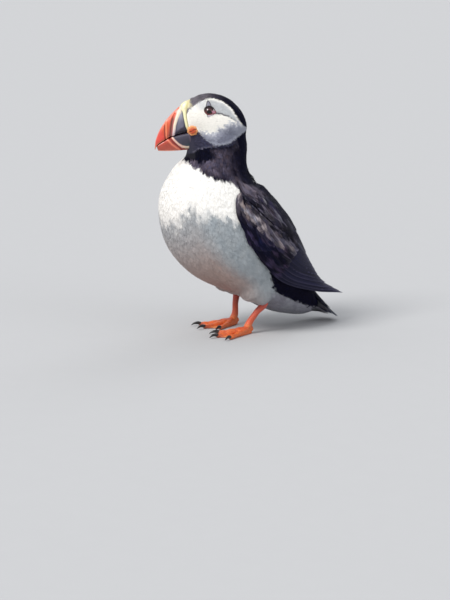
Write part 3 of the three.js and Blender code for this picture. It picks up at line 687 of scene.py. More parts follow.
def unwrap(P):
    W = np.zeros(len(P))
    U = np.zeros(len(P))
    best = np.full(len(P), -1.0)
    acc = np.zeros(len(P))
    for c, t, w in zip(CENTRE, CENTRE_T, _arc):
        k = np.exp(-((P - c) ** 2).sum(1) / (2 * 15.0**2)) + 1e-12
        acc += k
        W += k * w
        side = unit(np.cross(t, np.array([0, -1.0, 0.25])) + 1e-9)
        side = side * (1 if side[0] > 0 else -1)
        up = np.cross(t, side)
        q = P - c
        a = np.arctan2(q @ up, q @ side)
        hit = k > best
        best = np.where(hit, k, best)
        U = np.where(hit, a, U)
    return np.stack([0.02 + 0.96 * (U / (2 * np.pi) + 0.5), 0.02 + 0.96 * W / acc], 1)


SKIN_UV = unwrap(SKIN)


# =====================================================================================================
# camera, light, floor
# =====================================================================================================
SCENE.view_settings.view_transform = "Standard"
SCENE.view_settings.look = "None"

CAM_AZ, CAM_EL, CAM_DIST = math.radians(60), math.radians(8), 1.6
PX = 0.00086
BACK = np.array([math.sin(CAM_AZ) * math.cos(CAM_EL), -math.cos(CAM_AZ) * math.cos(CAM_EL), math.sin(CAM_EL)])
RIGHT = np.array([math.cos(CAM_AZ), math.sin(CAM_AZ), 0.0])
UP = np.cross(BACK, RIGHT)
UP = UP * (1 if UP[2] > 0 else -1)
_origin = to_row(np.zeros(3))
_aim = np.array([0, -0.010, 0.100]) + SHIFT * 0.001
_aim = _aim - RIGHT * ((_aim - _origin) @ RIGHT) - UP * ((_aim - _origin) @ UP) + RIGHT * (-10 * PX) + UP * (31 * PX)
cam_data = bpy.data.cameras.new("camera")
cam_data.sensor_width = 36
cam_data.lens = 36 * (CAM_DIST / PX / 1.0) / 600
cam_data.clip_start, cam_data.clip_end = 0.05, 50
cam = bpy.data.objects.new("camera", cam_data)
SCENE.collection.objects.link(cam)
SCENE.camera = cam
_eyepoint = np.array([0, -0.010, 0.100]) + SHIFT * 0.001 + BACK * CAM_DIST
cam.location = Vector(_eyepoint.tolist())
cam.rotation_mode = "QUATERNION"
cam.rotation_quaternion = Vector((_aim - _eyepoint).tolist()).to_track_quat("-Z", "Y")


def from_camera(right, up, back):
    return tuple((RIGHT * right + np.array([0, 0, 1.0]) * up + BACK * back).tolist())


def broad_light(name, direction, angle, strength, colour):
    d = bpy.data.lights.new(name, "SUN")
    d.angle = math.radians(angle)
    d.energy = strength
    d.color = colour
    o = bpy.data.objects.new(name, d)
    SCENE.collection.objects.link(o)
    o.location = tuple(direction)
    o.rotation_mode = "QUATERNION"
    o.rotation_quaternion = (-Vector(direction)).to_track_quat("-Z", "Y")
    return o


broad_light("key", from_camera(-0.85, 1.0, 0.75), 22.0, 2.45, (1.0, 0.985, 0.96))
broad_light("fill", from_camera(1.1, 0.45, 0.9), 40.0, 0.35, (0.95, 0.97, 1.0))
broad_light("rim", from_camera(0.5, 0.95, -1.0), 30.0, 0.45, (0.95, 0.97, 1.0))
world = bpy.data.worlds.new("studio")
SCENE.world = world
world.use_nodes = True
_bg = world.node_tree.nodes["Background"]
_bg.inputs["Color"].default_value = (0.89, 0.905, 0.93, 1)
_bg.inputs["Strength"].default_value = 0.72


# =====================================================================================================
# materials, each of nodes on the surface's own coordinates
# =====================================================================================================
class Nodes:
    def __init__(self, name, roughness=0.5, specular=0.5, **sockets):
        m = bpy.data.materials.new(name)
        m.use_nodes = True
        self.m, self.t = m, m.node_tree
        self.t.nodes.clear()
        self.out = self.add("ShaderNodeOutputMaterial")
        self.b = self.add("ShaderNodeBsdfPrincipled")
        self.t.links.new(self.b.outputs[0], self.out.inputs["Surface"])
        self.b.inputs["Roughness"].default_value = roughness
        self.b.inputs["Specular IOR Level"].default_value = specular
        for k, v in sockets.items():
            self.b.inputs[k.replace("_", " ")].default_value = v

    def add(self, kind, **props):
        n = self.t.nodes.new(kind)
        for k, v in props.items():
            setattr(n, k, v)
        return n

    def put(self, socket, value):
        if hasattr(value, "links"):
            self.t.links.new(value, socket)
        elif isinstance(value, (tuple, list)) and len(value) == 3 and socket.type == "RGBA":
            socket.default_value = (*value, 1)
        else:
            socket.default_value = value

    def attr(self, name, what="Color"):
        return self.add("ShaderNodeAttribute", attribute_name=name).outputs[what]

    def math(self, op, *v, clamp=False):
        n = self.add("ShaderNodeMath", operation=op, use_clamp=clamp)
        for i, x in enumerate(v):
            self.put(n.inputs[i], x)
        return n.outputs[0]

    def vmath(self, op, *v):
        n = self.add("ShaderNodeVectorMath", operation=op)
        for i, x in enumerate(v):
            self.put(n.inputs[i], x)
        return n.outputs[0]

    def coord(self, scale=(1, 1, 1)):
        c = self.add("ShaderNodeTexCoord").outputs["Object"]
        mp = self.add("ShaderNodeMapping")
        mp.inputs["Scale"].default_value = scale
        self.t.links.new(c, mp.inputs["Vector"])
        return mp.outputs[0]

    def noise(self, scale, detail=3.0, rough=0.55, vec=None, stretch=(1, 1, 1), what="Fac"):
        n = self.add("ShaderNodeTexNoise")
        self.put(n.inputs["Vector"], vec if vec is not None else self.coord(stretch))
        n.inputs["Scale"].default_value = scale
        n.inputs["Detail"].default_value = detail
        n.inputs["Roughness"].default_value = rough
        return n.outputs[what]

    def cells(self, scale, vec=None, feature="F1", what="Distance", randomness=1.0, stretch=(1, 1, 1)):
        n = self.add("ShaderNodeTexVoronoi", feature=feature)
        self.put(n.inputs["Vector"], vec if vec is not None else self.coord(stretch))
        n.inputs["Scale"].default_value = scale
        n.inputs["Randomness"].default_value = randomness
        return n.outputs[what]

    def ramp(self, value, stops):
        n = self.add("ShaderNodeValToRGB")
        e = n.color_ramp.elements
        while len(e) < len(stops):
            e.new(0.5)
        for i, (p, c) in enumerate(stops):
            e[i].position = p
            e[i].color = (*c, 1) if len(c) == 3 else c
        self.put(n.inputs[0], value)
        return n.outputs[0]

    def span(self, value, a, b, c=0.0, d=1.0):
        n = self.add("ShaderNodeMapRange")
        self.put(n.inputs["Value"], value)
        for k, x in (("From Min", a), ("From Max", b), ("To Min", c), ("To Max", d)):
            n.inputs[k].default_value = x
        return n.outputs[0]

    def mix(self, fac, a, b, mode="MIX"):
        n = self.add("ShaderNodeMix", data_type="RGBA", blend_type=mode)
        n.clamp_result = True
        self.put(n.inputs[0], fac)
        self.put(n.inputs[6], a)
        self.put(n.inputs[7], b)
        return n.outputs[2]

    def split(self, v):
        n = self.add("ShaderNodeSeparateXYZ")
        self.put(n.inputs[0], v)
        return n.outputs[0], n.outputs[1], n.outputs[2]

    def bump(self, height, strength=0.3, distance=0.0004, normal=None):
        n = self.add("ShaderNodeBump")
        n.inputs["Strength"].default_value = strength
        n.inputs["Distance"].default_value = distance
        self.put(n.inputs["Height"], height)
        if normal is not None:
            self.put(n.inputs["Normal"], normal)
        return n.outputs[0]

    def set(self, **kw):
        for k, v in kw.items():
            self.put(self.b.inputs[k.replace("_", " ")], v)
        return self


def feather_material(name, rough, sheen, barb, shaft=0.0, specular=0.35, streak=0.1):
    """Vane with barbs running out from the shaft: u across (-1 to 1), t from root to tip, and a number of its own."""
    k = Nodes(name, roughness=rough, specular=specular)
    k.b.inputs["Sheen Weight"].default_value = sheen
    k.b.inputs["Sheen Roughness"].default_value = 0.45
    tint = k.attr("tint")
    u, t, r = k.split(k.attr("vane", "Vector"))
    au = k.math("ABSOLUTE", u)
    lay = k.math("SUBTRACT", k.math("MULTIPLY", t, barb), k.math("MULTIPLY", au, barb * 0.42))
    wob = k.noise(260.0, 2.0)
    lay = k.math("ADD", lay, k.math("ADD", k.math("MULTIPLY", r, 17.0), k.math("MULTIPLY", wob, 1.1)))
    ridge = k.math("SINE", k.math("MULTIPLY", lay, 6.2832))
    fine = k.noise(1900.0, 3.0)
    tone = k.math("ADD", k.math("MULTIPLY", ridge, 0.055), k.math("ADD", k.math("MULTIPLY", fine, 0.16), 0.92))
    # some barbs lie together in darker and paler streaks
    cv = k.add("ShaderNodeCombineXYZ")
    k.put(cv.inputs[0], k.math("ADD", k.math("MULTIPLY", u, 2.2), k.math("MULTIPLY", r, 31.0)))
    k.put(cv.inputs[1], k.math("MULTIPLY", t, 0.9))
    k.put(cv.inputs[2], k.math("MULTIPLY", r, 7.0))
    lines = k.noise(2.2, 2.0, vec=cv.outputs[0])
    tone = k.math("MULTIPLY", tone, k.span(lines, 0.25, 0.75, 1.0 - streak, 1.0 + streak))
    col = k.vmath("MULTIPLY", tint, k.add_combine(tone))
    if shaft:
        on = k.span(au, 0.0, 0.11, 1.0, 0.0)
        on = k.math("MULTIPLY", on, k.span(t, 0.75, 1.0, 1.0, 0.0))
        col = k.mix(k.math("MULTIPLY", on, shaft), col, k.vmath("MULTIPLY", tint, (0.35, 0.35, 0.38)))
    h = k.math("ADD", k.math("MULTIPLY", ridge, 0.5), k.math("MULTIPLY", fine, 0.5))
    k.set(Base_Color=col, Normal=k.bump(h, 0.35, 0.00012))
    k.set(Roughness=k.span(fine, 0.0, 1.0, rough - 0.08, rough + 0.1))
    return k.m


def _combine(self, v):
    n = self.add("ShaderNodeCombineXYZ")
    for i in range(3):
        self.put(n.inputs[i], v)
    return n.outputs[0]


Nodes.add_combine = _combine


def skin_material():
    k = Nodes("down", roughness=0.8, specular=0.25)
    tint = k.attr("tint")
    n1, n2 = k.noise(700.0, 4.0), k.noise(90.0, 3.0)
    tone = k.math("ADD", k.math("MULTIPLY", n1, 0.3), k.math("ADD", k.math("MULTIPLY", n2, 0.2), 0.7))
    k.set(Base_Color=k.vmath("MULTIPLY", tint, k.add_combine(tone)), Normal=k.bump(n1, 0.5, 0.0004))
    return k.m


M_SKIN = skin_material()
M_DOWN = feather_material("body_feather", 0.72, 0.12, 5.0, streak=0.12)
M_FACE = feather_material("face_feather", 0.75, 0.15, 3.0, streak=0.08)
M_DARK = feather_material("dark_feather", 0.55, 0.0, 7.0, shaft=0.0, specular=0.02, streak=0.4)
M_WING = feather_material("wing_feather", 0.52, 0.0, 14.0, shaft=0.4, specular=0.04, streak=0.75)
M_QUILL = feather_material("flight_feather", 0.46, 0.0, 42.0, shaft=0.7, specular=0.07, streak=0.6)


def floor():
    ob = make_mesh("floor", np.array([[-30.0, -30, 0], [30, -30, 0], [30, 30, 0], [-30, 30, 0]]) + np.array([0, 0, -0.0002]), [np.array([[0, 1, 2, 3]])], frame_mm=False)
    k = Nodes("floor_paint", roughness=0.8, specular=0.0)
    n = k.noise(60.0, 3.0)
    k.set(Base_Color=k.ramp(n, [(0.3, (0.498, 0.503, 0.515)), (0.75, (0.503, 0.508, 0.52))]), Normal=k.bump(k.noise(300.0, 3.0), 0.03, 0.0002))
    ob.data.materials.append(k.m)


floor()


# =====================================================================================================
# coat: vanes with loose pointed ends, each traced along the skin from its own root
# =====================================================================================================
ROWS = np.array([0.0, 0.3, 0.58, 0.8, 1.0])


def vane_template(C):
    """Rows of (u, row, kind) and the triangles of one vane of C strips. Vertices: root; two rows of C+1; C pairs; C tips."""
    u = [0.0]
    k = [0]
    for row in (1, 2):
        for j in range(C + 1):
            u.append(-1 + 2 * j / C)
            k.append(row)
    for c in range(C):
        m = -1 + (2 * c + 1) / C
        u += [m - 0.62 / C, m + 0.62 / C]
        k += [3, 3]
    for c in range(C):
        u.append(-1 + (2 * c + 1) / C)
        k.append(4)
    T = []
    r1, r2, r3, r4 = 1, 2 + C, 3 + 2 * C, 3 + 4 * C
    for c in range(C):
        T.append((0, r1 + c + 1, r1 + c))
        T += [(r1 + c, r1 + c + 1, r2 + c + 1), (r1 + c, r2 + c + 1, r2 + c)]
        a, b = r3 + 2 * c, r3 + 2 * c + 1
        T += [(r2 + c, r2 + c + 1, b), (r2 + c, b, a)]
        T.append((a, b, r4 + c))
    return np.array(u), np.array(k), np.array(T)


def scatter(allowed, radius, seed, oversample=11):
    """Roots spread evenly over the skin, each at least its radius from the next."""
    r = np.random.default_rng(seed)
    A, B, C, D = (SKIN[SF[:, i]] for i in range(4))
    area = 0.5 * np.linalg.norm(np.cross(C - A, D - B), axis=1)
    rad = radius[SF].mean(1)
    w = area / rad**2 * allowed[SF].all(1)
    n = int(w.sum() * oversample)
    f = r.choice(len(SF), n, p=w / w.sum())
    x, y = r.random(n)[:, None], r.random(n)[:, None]
    P = (A[f] * (1 - x) + B[f] * x) * (1 - y) + (D[f] * (1 - x) + C[f] * x) * y
    kd = tree(P)
    rr = rad[f]
    alive = np.ones(n, bool)
    keep = []
    for i, (p, q) in enumerate(zip(P.tolist(), rr.tolist())):
        if alive[i]:
            keep.append(i)
            for _, j, _ in kd.find_range(p, q):
                alive[j] = False
    return P[keep]


def trace(P, D, L):
    """Follows the skin from P along D for L: centre points, sides and normals at each row."""
    i = nearest(SKIN_KD, P)
    S, B, N = [], [], []
    p, n = P, SKIN_N[i]
    p = p - dot(p - SKIN[i], n)[:, None] * n
    d = unit(D - dot(D, n)[:, None] * n)
    S.append(p)
    N.append(n)
    B.append(unit(np.cross(n, d)))
    for k in range(1, len(ROWS)):
        step = (ROWS[k] - ROWS[k - 1]) * L
        q = p + d * step[:, None]
        i = nearest(SKIN_KD, q)
        n2 = SKIN_N[i]
        q = q - dot(q - SKIN[i], n2)[:, None] * n2
        d = d * 0.45 + LIE[i] * 0.55
        n2 = unit(n * 0.4 + n2 * 0.6)
        d = unit(d - dot(d, n2)[:, None] * n2)
        S.append(q)
        N.append(n2)
        B.append(unit(np.cross(n2, d)))
        p, n = q, n2
    return np.stack(S, 1), np.stack(B, 1), np.stack(N, 1), i


def vanes(C, S, B, N, W, D, tint, uv, seed, tip=None, camber=0.05, frayed=1.0, shape=(0.72, 1.0, 0.97), rise=1.6, low=0.1, thick=0.0):
    """Vertices, triangles and attributes of many vanes at once. S, B, N: (n, 5, 3); W width, D how far the tips stand off the skin."""
    r = np.random.default_rng(seed)
    u, k, T = vane_template(C)
    n, m = len(S), len(u)
    t = np.broadcast_to(ROWS[k], (n, m)).copy()
    ends = k == 4
    tt = 1 - 0.30 * u[ends] ** 2 + r.uniform(-0.13, 0.04, (n, ends.sum())) * frayed
    t[:, ends] = tt
    pair = k == 3
    t[:, pair] = 0.8 - 0.16 * u[pair] ** 2 + r.uniform(-0.04, 0.03, (n, pair.sum())) * frayed
    wide = np.array([0.0, *shape, 1.0])[k]
    uu = np.broadcast_to(u, (n, m)).copy()
    uu[:, ends] *= 1.0 + r.uniform(-0.12, 0.16, (n, ends.sum())) * frayed
    # positions along the traced line, between its rows
    at = np.clip(t, 0, 1)
    j = np.clip(np.searchsorted(ROWS, at, side="right") - 1, 0, 3)
    f = (at - ROWS[j]) / (ROWS[j + 1] - ROWS[j])
    rows = np.arange(n)[:, None]
    f3 = f[..., None]
    c = S[rows, j] * (1 - f3) + S[rows, j + 1] * f3
    b = B[rows, j] * (1 - f3) + B[rows, j + 1] * f3
    nn = N[rows, j] * (1 - f3) + N[rows, j + 1] * f3
    h = D[:, None] * (low + (1 - low) * (1 - (1 - at) ** rise))
    h = h + D[:, None] * 0.10 * r.normal(size=(n, m)) * ends * frayed
    roll = r.normal(0, 0.05, n)[:, None]
    half = (W / 2)[:, None] * wide * uu
    h = h - camber * W[:, None] * uu**2 * wide + roll * half
    V = c + b * half[..., None] + nn * h[..., None]
    V = V.reshape(-1, 3)
    F = (T[None] + (np.arange(n) * m)[:, None, None]).reshape(-1, 3)
    vane = np.stack([np.broadcast_to(u, (n, m)), t, np.broadcast_to(r.random(n)[:, None], (n, m))], -1).reshape(-1, 3)
    col = np.repeat(tint[:, None], m, 1)
    if tip is not None:
        col = col * (1 + (tip - 1) * (at**2)[..., None])
    col = np.clip(col, 0, 1).reshape(-1, 3)
    UV = uv[:, None] + 0.003 * np.stack([np.broadcast_to(u, (n, m)) * 0.5, t - 0.5], -1)
    UV = UV.reshape(-1, 2)
    if thick:
        # the underside, a little below between the edges
        low_v = V.reshape(n, m, 3) - nn * (thick * (1 - u**2) * np.isin(k, (1, 2)))[None, :, None]
        F = np.concatenate([F, F[:, ::-1] + len(V)])
        V = np.concatenate([V, low_v.reshape(-1, 3)])
        vane, col, UV = np.concatenate([vane, vane]), np.concatenate([col, col]), np.concatenate([UV, UV])
    return V, F, vane, col, UV


COAT = []


def coat_piece(name, parts, mat, nodes=()):
    """Joins parts into one piece; the assert holds it to fewer than 195,000 triangles."""
    V, F, A, C, U, n = [], [], [], [], [], 0
    for v, f, a, c, u in parts:
        V.append(v)
        F.append(f + n)
        A.append(a)
        C.append(c)
        U.append(u)
        n += len(v)
    V, F, A, C, U = map(np.concatenate, (V, F, A, C, U))
    assert len(F) < 195000, (name, len(F))
    ob = make_mesh(name, V, [F], {"tint": C, "vane": A}, uv=U, mats=(mat,))
    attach(ob, "root")
    COAT.append((name, len(F)))
    return ob


# how far apart the roots are, and each feather's length and width, by place
bare = (_base_d > -0.2) & (HEADNESS > 0.5)
_ros = np.hypot(HS - ROSETTE["along"], HV - ROSETTE["above"])
bare |= (_ros < 4.0) & (HEADNESS > 0.5)
bare |= (_eye_d < 4.2) & (HEADNESS > 0.5) & (np.abs(HX) > 12)
hidden = (SWD < 9) & (SWB > 0.10) & (SWB < 0.90) & (SWA > 0.05) & (SWA < 0.985) & (ST > 3.2)
hidden &= (np.abs(SV[:, 0]) > 6)
near_edge = np.clip(np.minimum(-_base_d - 0.2, np.minimum(_eye_d - 4.2, _ros - 4.0)), 0, 8)
HEADZ = HEADNESS > 0.5
RADIUS = np.where(HEADZ, 1.0, lerp(1.2, 1.5, smoothstep(2.3, 4.4, ST)))
RADIUS = lerp(RADIUS, 1.5, _thigh)
RADIUS = np.where(HEADZ, lerp(0.8, RADIUS, smoothstep(0.5, 4, near_edge)), RADIUS)
LENGTH = np.where(HEADZ, lerp(3.6, 4.4, smoothstep(-20, -40, HS)), lerp(7.5, 13.5, smoothstep(1.2, 4.6, ST)))
LENGTH = np.where(HEADZ, lerp(1.7, LENGTH, smoothstep(0.3, 5, near_edge)), LENGTH)
LENGTH = lerp(LENGTH, 7.0, _thigh)
LENGTH = relax(LENGTH[:, None], SE, len(SV), 10)[:, 0]
WIDTH = LENGTH * np.where(HEADZ, 0.46, 0.33)
# over the wing's start the back's feathers lie on it
_over = (SWB > 0.06) & (SWB < 1.04) & (SWA > 0.0) & (SWA < 0.3) & (SWD < 9)
OVER = np.where(_over, DEPTH + SWD + wing_top(SWA, SWB) - 0.2, 0.0) * smoothstep(0.06, 0.22, SWB) * smoothstep(-0.01, 0.09, SWA)


# fuller where the nape runs into the back
NAPE = 2.4 * np.exp(-(((SV[:, 2] - 130.5) / 9.0) ** 2)) * smoothstep(0.15, 0.6, SKIN_N[:, 1]) * smoothstep(26, 12, np.abs(SV[:, 0]))


def contour_feathers(where, C, seed, thick=0.0):
    P = scatter(where, RADIUS, seed)
    r = np.random.default_rng(seed + 1)
    i = nearest(SKIN_KD, P)
    n = len(P)
    d = LIE[i] + SKIN_N[i] * 0
    turn = r.normal(0, 0.10, n)[:, None]
    d = d + np.cross(SKIN_N[i], d) * turn
    L = LENGTH[i] * r.uniform(0.86, 1.14, n)
    W = WIDTH[i] * r.uniform(0.88, 1.12, n)
    S, B, N, last = trace(P, d, L)
    # each takes the colour of the place its open part covers: its marking, with any painted shade or sheen there
    seen = S[:, 2] * 0.45 + S[:, 3] * 0.55
    m = nearest(SKIN_KD, seen)
    col = plumage(seen + SKIN_N[m] * DEPTH[m][:, None], ST[m], SA[m])
    lum = col.mean(1)
    dark = smoothstep(0.18, 0.05, lum)
    grey = smoothstep(0.75, 0.5, lum)
    var = np.where(dark > 0.5, r.normal(0, 0.15, n), r.normal(0, 1, n) * lerp(0.015, 0.055, grey))
    col = col * (1 + var)[:, None]
    # some dark feathers lean brown, some blue
    hue = r.normal(0, 1, n)[:, None] * np.array([0.05, 0.0, -0.06])
    col = col * (1 + hue * dark[:, None])
    # a vane doesn't stand higher than the coat is deep where it ends
    D = np.minimum(DEPTH[i], DEPTH[last] * 1.15) * r.uniform(0.9, 1.08, n)
    D = np.maximum(D + NAPE[last] * (lum < 0.12), OVER[last] * (lum < 0.12))
    uv = SKIN_UV[i]
    tip = np.where(dark > 0.5, 1.55, 1.03)[:, None, None] * np.ones((1, 1, 3))
    out = []
    for k, pick in enumerate((lum >= 0.12, lum < 0.12)):
        q = np.nonzero(pick)[0]
        out.append(vanes(C, S[q], B[q], N[q], W[q], D[q], col[q], uv[q], seed + 2 + k, tip=tip[q], thick=thick) if len(q) else None)
    return out


print("coat")
_all = ~bare & ~hidden
_head = _all & HEADZ
_neck = _all & ~HEADZ & (ST < 2.9)
_rest = _all & ~HEADZ & (ST >= 2.9)
_right = SV[:, 0] < 0
for _half, _w in (("_left", ~_right), ("_right", _right)):
    _more = 5 if _half == "_right" else 0
    _pale, _dark = contour_feathers(_head & _w, 3, 11 + _more)
    coat_piece("coat_head" + _half, [_pale], M_FACE)
    _white, _black = [], [_dark]
    for _zone, _c, _sd in ((_neck, 4, 21), (_rest & (ST < 5.2), 5, 31), (_rest & (ST >= 5.2), 5, 41)):
        _pale, _dark = contour_feathers(_zone & _w, _c, _sd + _more)
        _white += [_pale] if _pale else []
        _black += [_dark] if _dark else []
    coat_piece("coat_white" + _half, _white, M_DOWN)
    coat_piece("coat_black" + _half, _black, M_DARK)

skin = make_mesh("skin", SKIN, [SF], {"tint": SKIN_TINT * np.where(SKIN_TINT.mean(1) > 0.4, 0.96, 0.8)[:, None]}, uv=SKIN_UV, mats=(M_SKIN,))
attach(skin, "root")
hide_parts("head", "neck", "trunk", "thigh_left", "thigh_right")


# =====================================================================================================
# folded wings: a slab under coverts, scapulars and closed flight feathers
# =====================================================================================================
COVER = 1.5
SCAP = line([(-0.1, 0.02), (0.0, 0.05), (0.075, 0.14), (0.165, 0.25), (0.265, 0.31), (0.36, 0.36), (0.455, 0.42), (0.54, 0.50), (0.60, 0.60), (0.64, 0.74), (0.67, 1.1)])
GLEAM = [(0.03, 0.035), (0.10, 0.085), (0.16, 0.145), (0.215, 0.18), (0.26, 0.225), (0.36, 0.27), (0.47, 0.325), (0.54, 0.38), (0.61, 0.43)]


def scapular(a, b):
    return smoothstep(-0.03, 0.02, b - SCAP(a))


def slab_height(a, b):
    h = wing_top(a, b) - COVER - 0.8 * (1 - scapular(a, b)) * smoothstep(0, 0.12, b) * smoothstep(0.9, 0.7, a)
    h = h - 1.0 * smoothstep(0.07, 0.0, a)
    return np.maximum(h, -0.95)


def low_height(a, b):
    """Level the flight feathers and greater coverts start from, under the scapulars too."""
    h = wing_top(a, b) - COVER - 0.8 * smoothstep(0, 0.12, b) * smoothstep(0.9, 0.7, a)
    return np.maximum(h - 1.0 * smoothstep(0.07, 0.0, a), -0.95)


def slab_grid(side, na=150, nb=70, a0=0.0, a1=0.9):
    A, B = np.meshgrid(np.linspace(a0, a1, na), np.linspace(0, 1, nb), indexing="ij")
    A = A * (1 - 0.13 * smoothstep(0.3, 0.9, B))
    top = wing_point(A, B, np.maximum(slab_height(A, B) - 1.8 * smoothstep(0.84, 1.0, np.broadcast_to(np.linspace(0, 1, na)[:, None], A.shape)), -0.95), side)
    return A, B, top


def wing_colour(a, b, seed):
    r = np.random.default_rng(seed)
    n = len(a)
    sc = scapular(a, b)
    P = np.stack([a * 140, b * 70], 1)
    g = poly_distance(P, [(x * 140, y * 70) for x, y in GLEAM])
    wide = np.interp(a, [0, 0.1, 0.25, 0.5, 0.7], [5.6, 5.6, 4.6, 3.8, 2.6])
    strength = np.interp(a, [0, 0.08, 0.3, 0.55, 0.7], [0.7, 1.0, 1.0, 0.95, 0.3])
    gleam = np.exp(-((g / wide) ** 2)) * strength * (1 - sc)
    col = np.broadcast_to(srgb(14, 13, 29), (n, 3)).copy()
    # painted sheen: a bluish patch on the middle of the coverts
    col = mixc(col, srgb(18, 20, 44), np.exp(-(((a - 0.36) / 0.1) ** 2) - (((b - 0.16) / 0.1) ** 2)) * 0.9)
    some = smoothstep(0.55, 0.95, r.random(n)) * smoothstep(0.1, 0.3, a)
    col = mixc(col, srgb(56, 48, 72), some * 0.75)
    col = mixc(col, srgb(38, 36, 56), smoothstep(0.62, 0.95, a))
    # scapulars: grey feathers mixed among dark ones along their lower front as painted sheen, blue-black over the back
    pick = r.random(n)
    scap = mixc(srgb(13, 12, 28), srgb(48, 43, 66), smoothstep(0.25, 0.5, pick))
    scap = mixc(scap, srgb(106, 107, 116), smoothstep(0.55, 0.85, pick))
    deep = np.clip(smoothstep(0.25, 0.5, a) * 0.7 + smoothstep(0.14, 0.42, b - SCAP(a)), 0, 1)
    scap = mixc(scap, mixc(srgb(11, 11, 28), srgb(26, 24, 44), smoothstep(0.5, 1.0, pick)), deep)
    # a painted highlight along the scapulars' front edge, and painted shadow in the gap under them
    fringe = np.exp(-(((b - SCAP(a) - 0.075) / 0.075) ** 2)) * smoothstep(0.66, 0.3, a) * (0.5 + 0.5 * pick)
    scap = mixc(scap, srgb(98, 92, 106), fringe * 0.9)
    col = mixc(col, scap, sc)
    pale = mixc(srgb(94, 88, 99), srgb(150, 141, 144), smoothstep(0.35, 1.0, pick))
    col = mixc(col, pale, np.clip(gleam * (0.75 + 0.4 * pick), 0, 1))
    # painted shadow in the gap under the scapulars' edge
    col = mixc(col, srgb(6, 6, 18), np.exp(-(((b - SCAP(a) + 0.012) / 0.022) ** 2)) * smoothstep(0.64, 0.55, a) * 0.92)
    col = col * (1 + r.normal(0, 0.12, n))[:, None]
    col = col * (1 + r.normal(0, 1, n)[:, None] * np.array([0.05, 0.0, -0.05]))
    return np.clip(col, 0.002, 1)


_WL = np.linspace(0, 1, 101)


def wing_metric():
    """Length in mm of a step in a, at each a along the middle of the wing, and the width in mm at each a."""
    w, wid = [], []
    for a in _WL:
        e = 0.004
        p, q = wing_point(np.array([max(0, a - e)]), np.array([0.4]), np.array([2.0])), wing_point(np.array([min(1, a + e)]), np.array([0.4]), np.array([2.0]))
        w.append(np.linalg.norm(q - p) / (min(1, a + e) - max(0, a - e)))
        b = np.linspace(0, 1, 40)
        l = wing_point(np.full(40, a), b, np.full(40, 1.0))
        wid.append(np.linalg.norm(np.diff(l, axis=0), axis=1).sum())
    return np.array(w), np.array(wid)


_MA, _MW = wing_metric()
wing_step = lambda a: np.interp(a, _WL, _MA)
wing_wide = lambda a: np.interp(a, _WL, _MW)


def wing_frame(a, b, h, side):
    """Point, normal and run of the wing's surface."""
    e = 0.003
    p = wing_point(a, b, h, side)
    pa = wing_point(np.minimum(a + e, 1), b, h, side) - wing_point(np.maximum(a - e, 0), b, h, side)
    pb = wing_point(a, b + e, h, side) - wing_point(a, b - e, h, side)
    n = unit(np.cross(pa, pb))
    w = WING(a)
    c = FORM(w[..., 0])
    flip = dot(n, p - bird(c[..., 0], c[..., 1])) < 0
    n = np.where(flip[..., None], -n, n)
    return p, n, unit(pa)


def wing_vanes(side, a0, b0, L, W, turn, C, seed, lift, cover=COVER, frayed=0.5, tint=None):
    """Vanes whose roots are at (a0, b0), L long, turned down by an angle, rising by cover from the slab's height plus lift."""
    r = np.random.default_rng(seed)
    n = len(a0)
    a, b = a0.copy(), b0.copy()
    S, B, N = [], [], []
    for k in range(len(ROWS)):
        if k:
            ds = (ROWS[k] - ROWS[k - 1]) * L
            a = a + np.cos(turn) * ds / wing_step(a)
            b = b - np.sin(turn) * ds / wing_wide(a)
        over = np.maximum(a - 1, 0)
        p, nn, run = wing_frame(np.clip(a, 0, 1), np.clip(b, -0.03, 1.03), slab_height(np.clip(a, 0, 0.9), np.clip(b, 0, 1)) + lift, side)
        p = p + run * (over * 140)[:, None]
        S.append(p)
        N.append(nn)
    S, N = np.stack(S, 1), np.stack(N, 1)
    T = np.concatenate([S[:, 1:] - S[:, :-1], S[:, -1:] - S[:, -2:-1]], 1)
    B = unit(np.cross(N, T))
    col = wing_colour(a0 + 0.4 * L / 140, b0, seed + 7) if tint is None else np.broadcast_to(tint, (n, 3)).copy()
    D = cover * lerp(0.45, 1.0, smoothstep(0.0, 0.12, a0)) * r.uniform(0.85, 1.05, n)
    uv = np.stack([0.03 + 0.94 * np.clip(a0, 0, 1), 0.03 + 0.94 * np.clip(b0, 0, 1)], 1)
    tip = np.full((n, 1, 3), 1.35)
    return vanes(C, S, B, N, W, D, col, uv, seed + 3, tip=tip, camber=0.075, frayed=frayed, shape=(0.8, 1.0, 0.92), rise=1.5, low=0.05)


def wing_scatter(side, where, radius, seed, n=9000):
    """Roots spread over the wing's surface where where(a, b) is true, radius(a, b) mm apart."""
    r = np.random.default_rng(seed)
    a, b = r.random(n), r.random(n)
    # as many candidates for each square millimetre
    keep = r.random(n) < (wing_step(a) * wing_wide(a)) / (_MA * _MW).max()
    a, b = a[keep], b[keep]
    ok = where(a, b)
    a, b = a[ok], b[ok]
    P = wing_point(a, b, np.zeros(len(a)), 1)
    rad = radius(a, b)
    kd = tree(P)
    alive = np.ones(len(P), bool)
    out = []
    for i, (p, q) in enumerate(zip(P.tolist(), rad.tolist())):
        if alive[i]:
            out.append(i)
            for _, j, _ in kd.find_range(p, q):
                alive[j] = False
    return a[out], b[out]


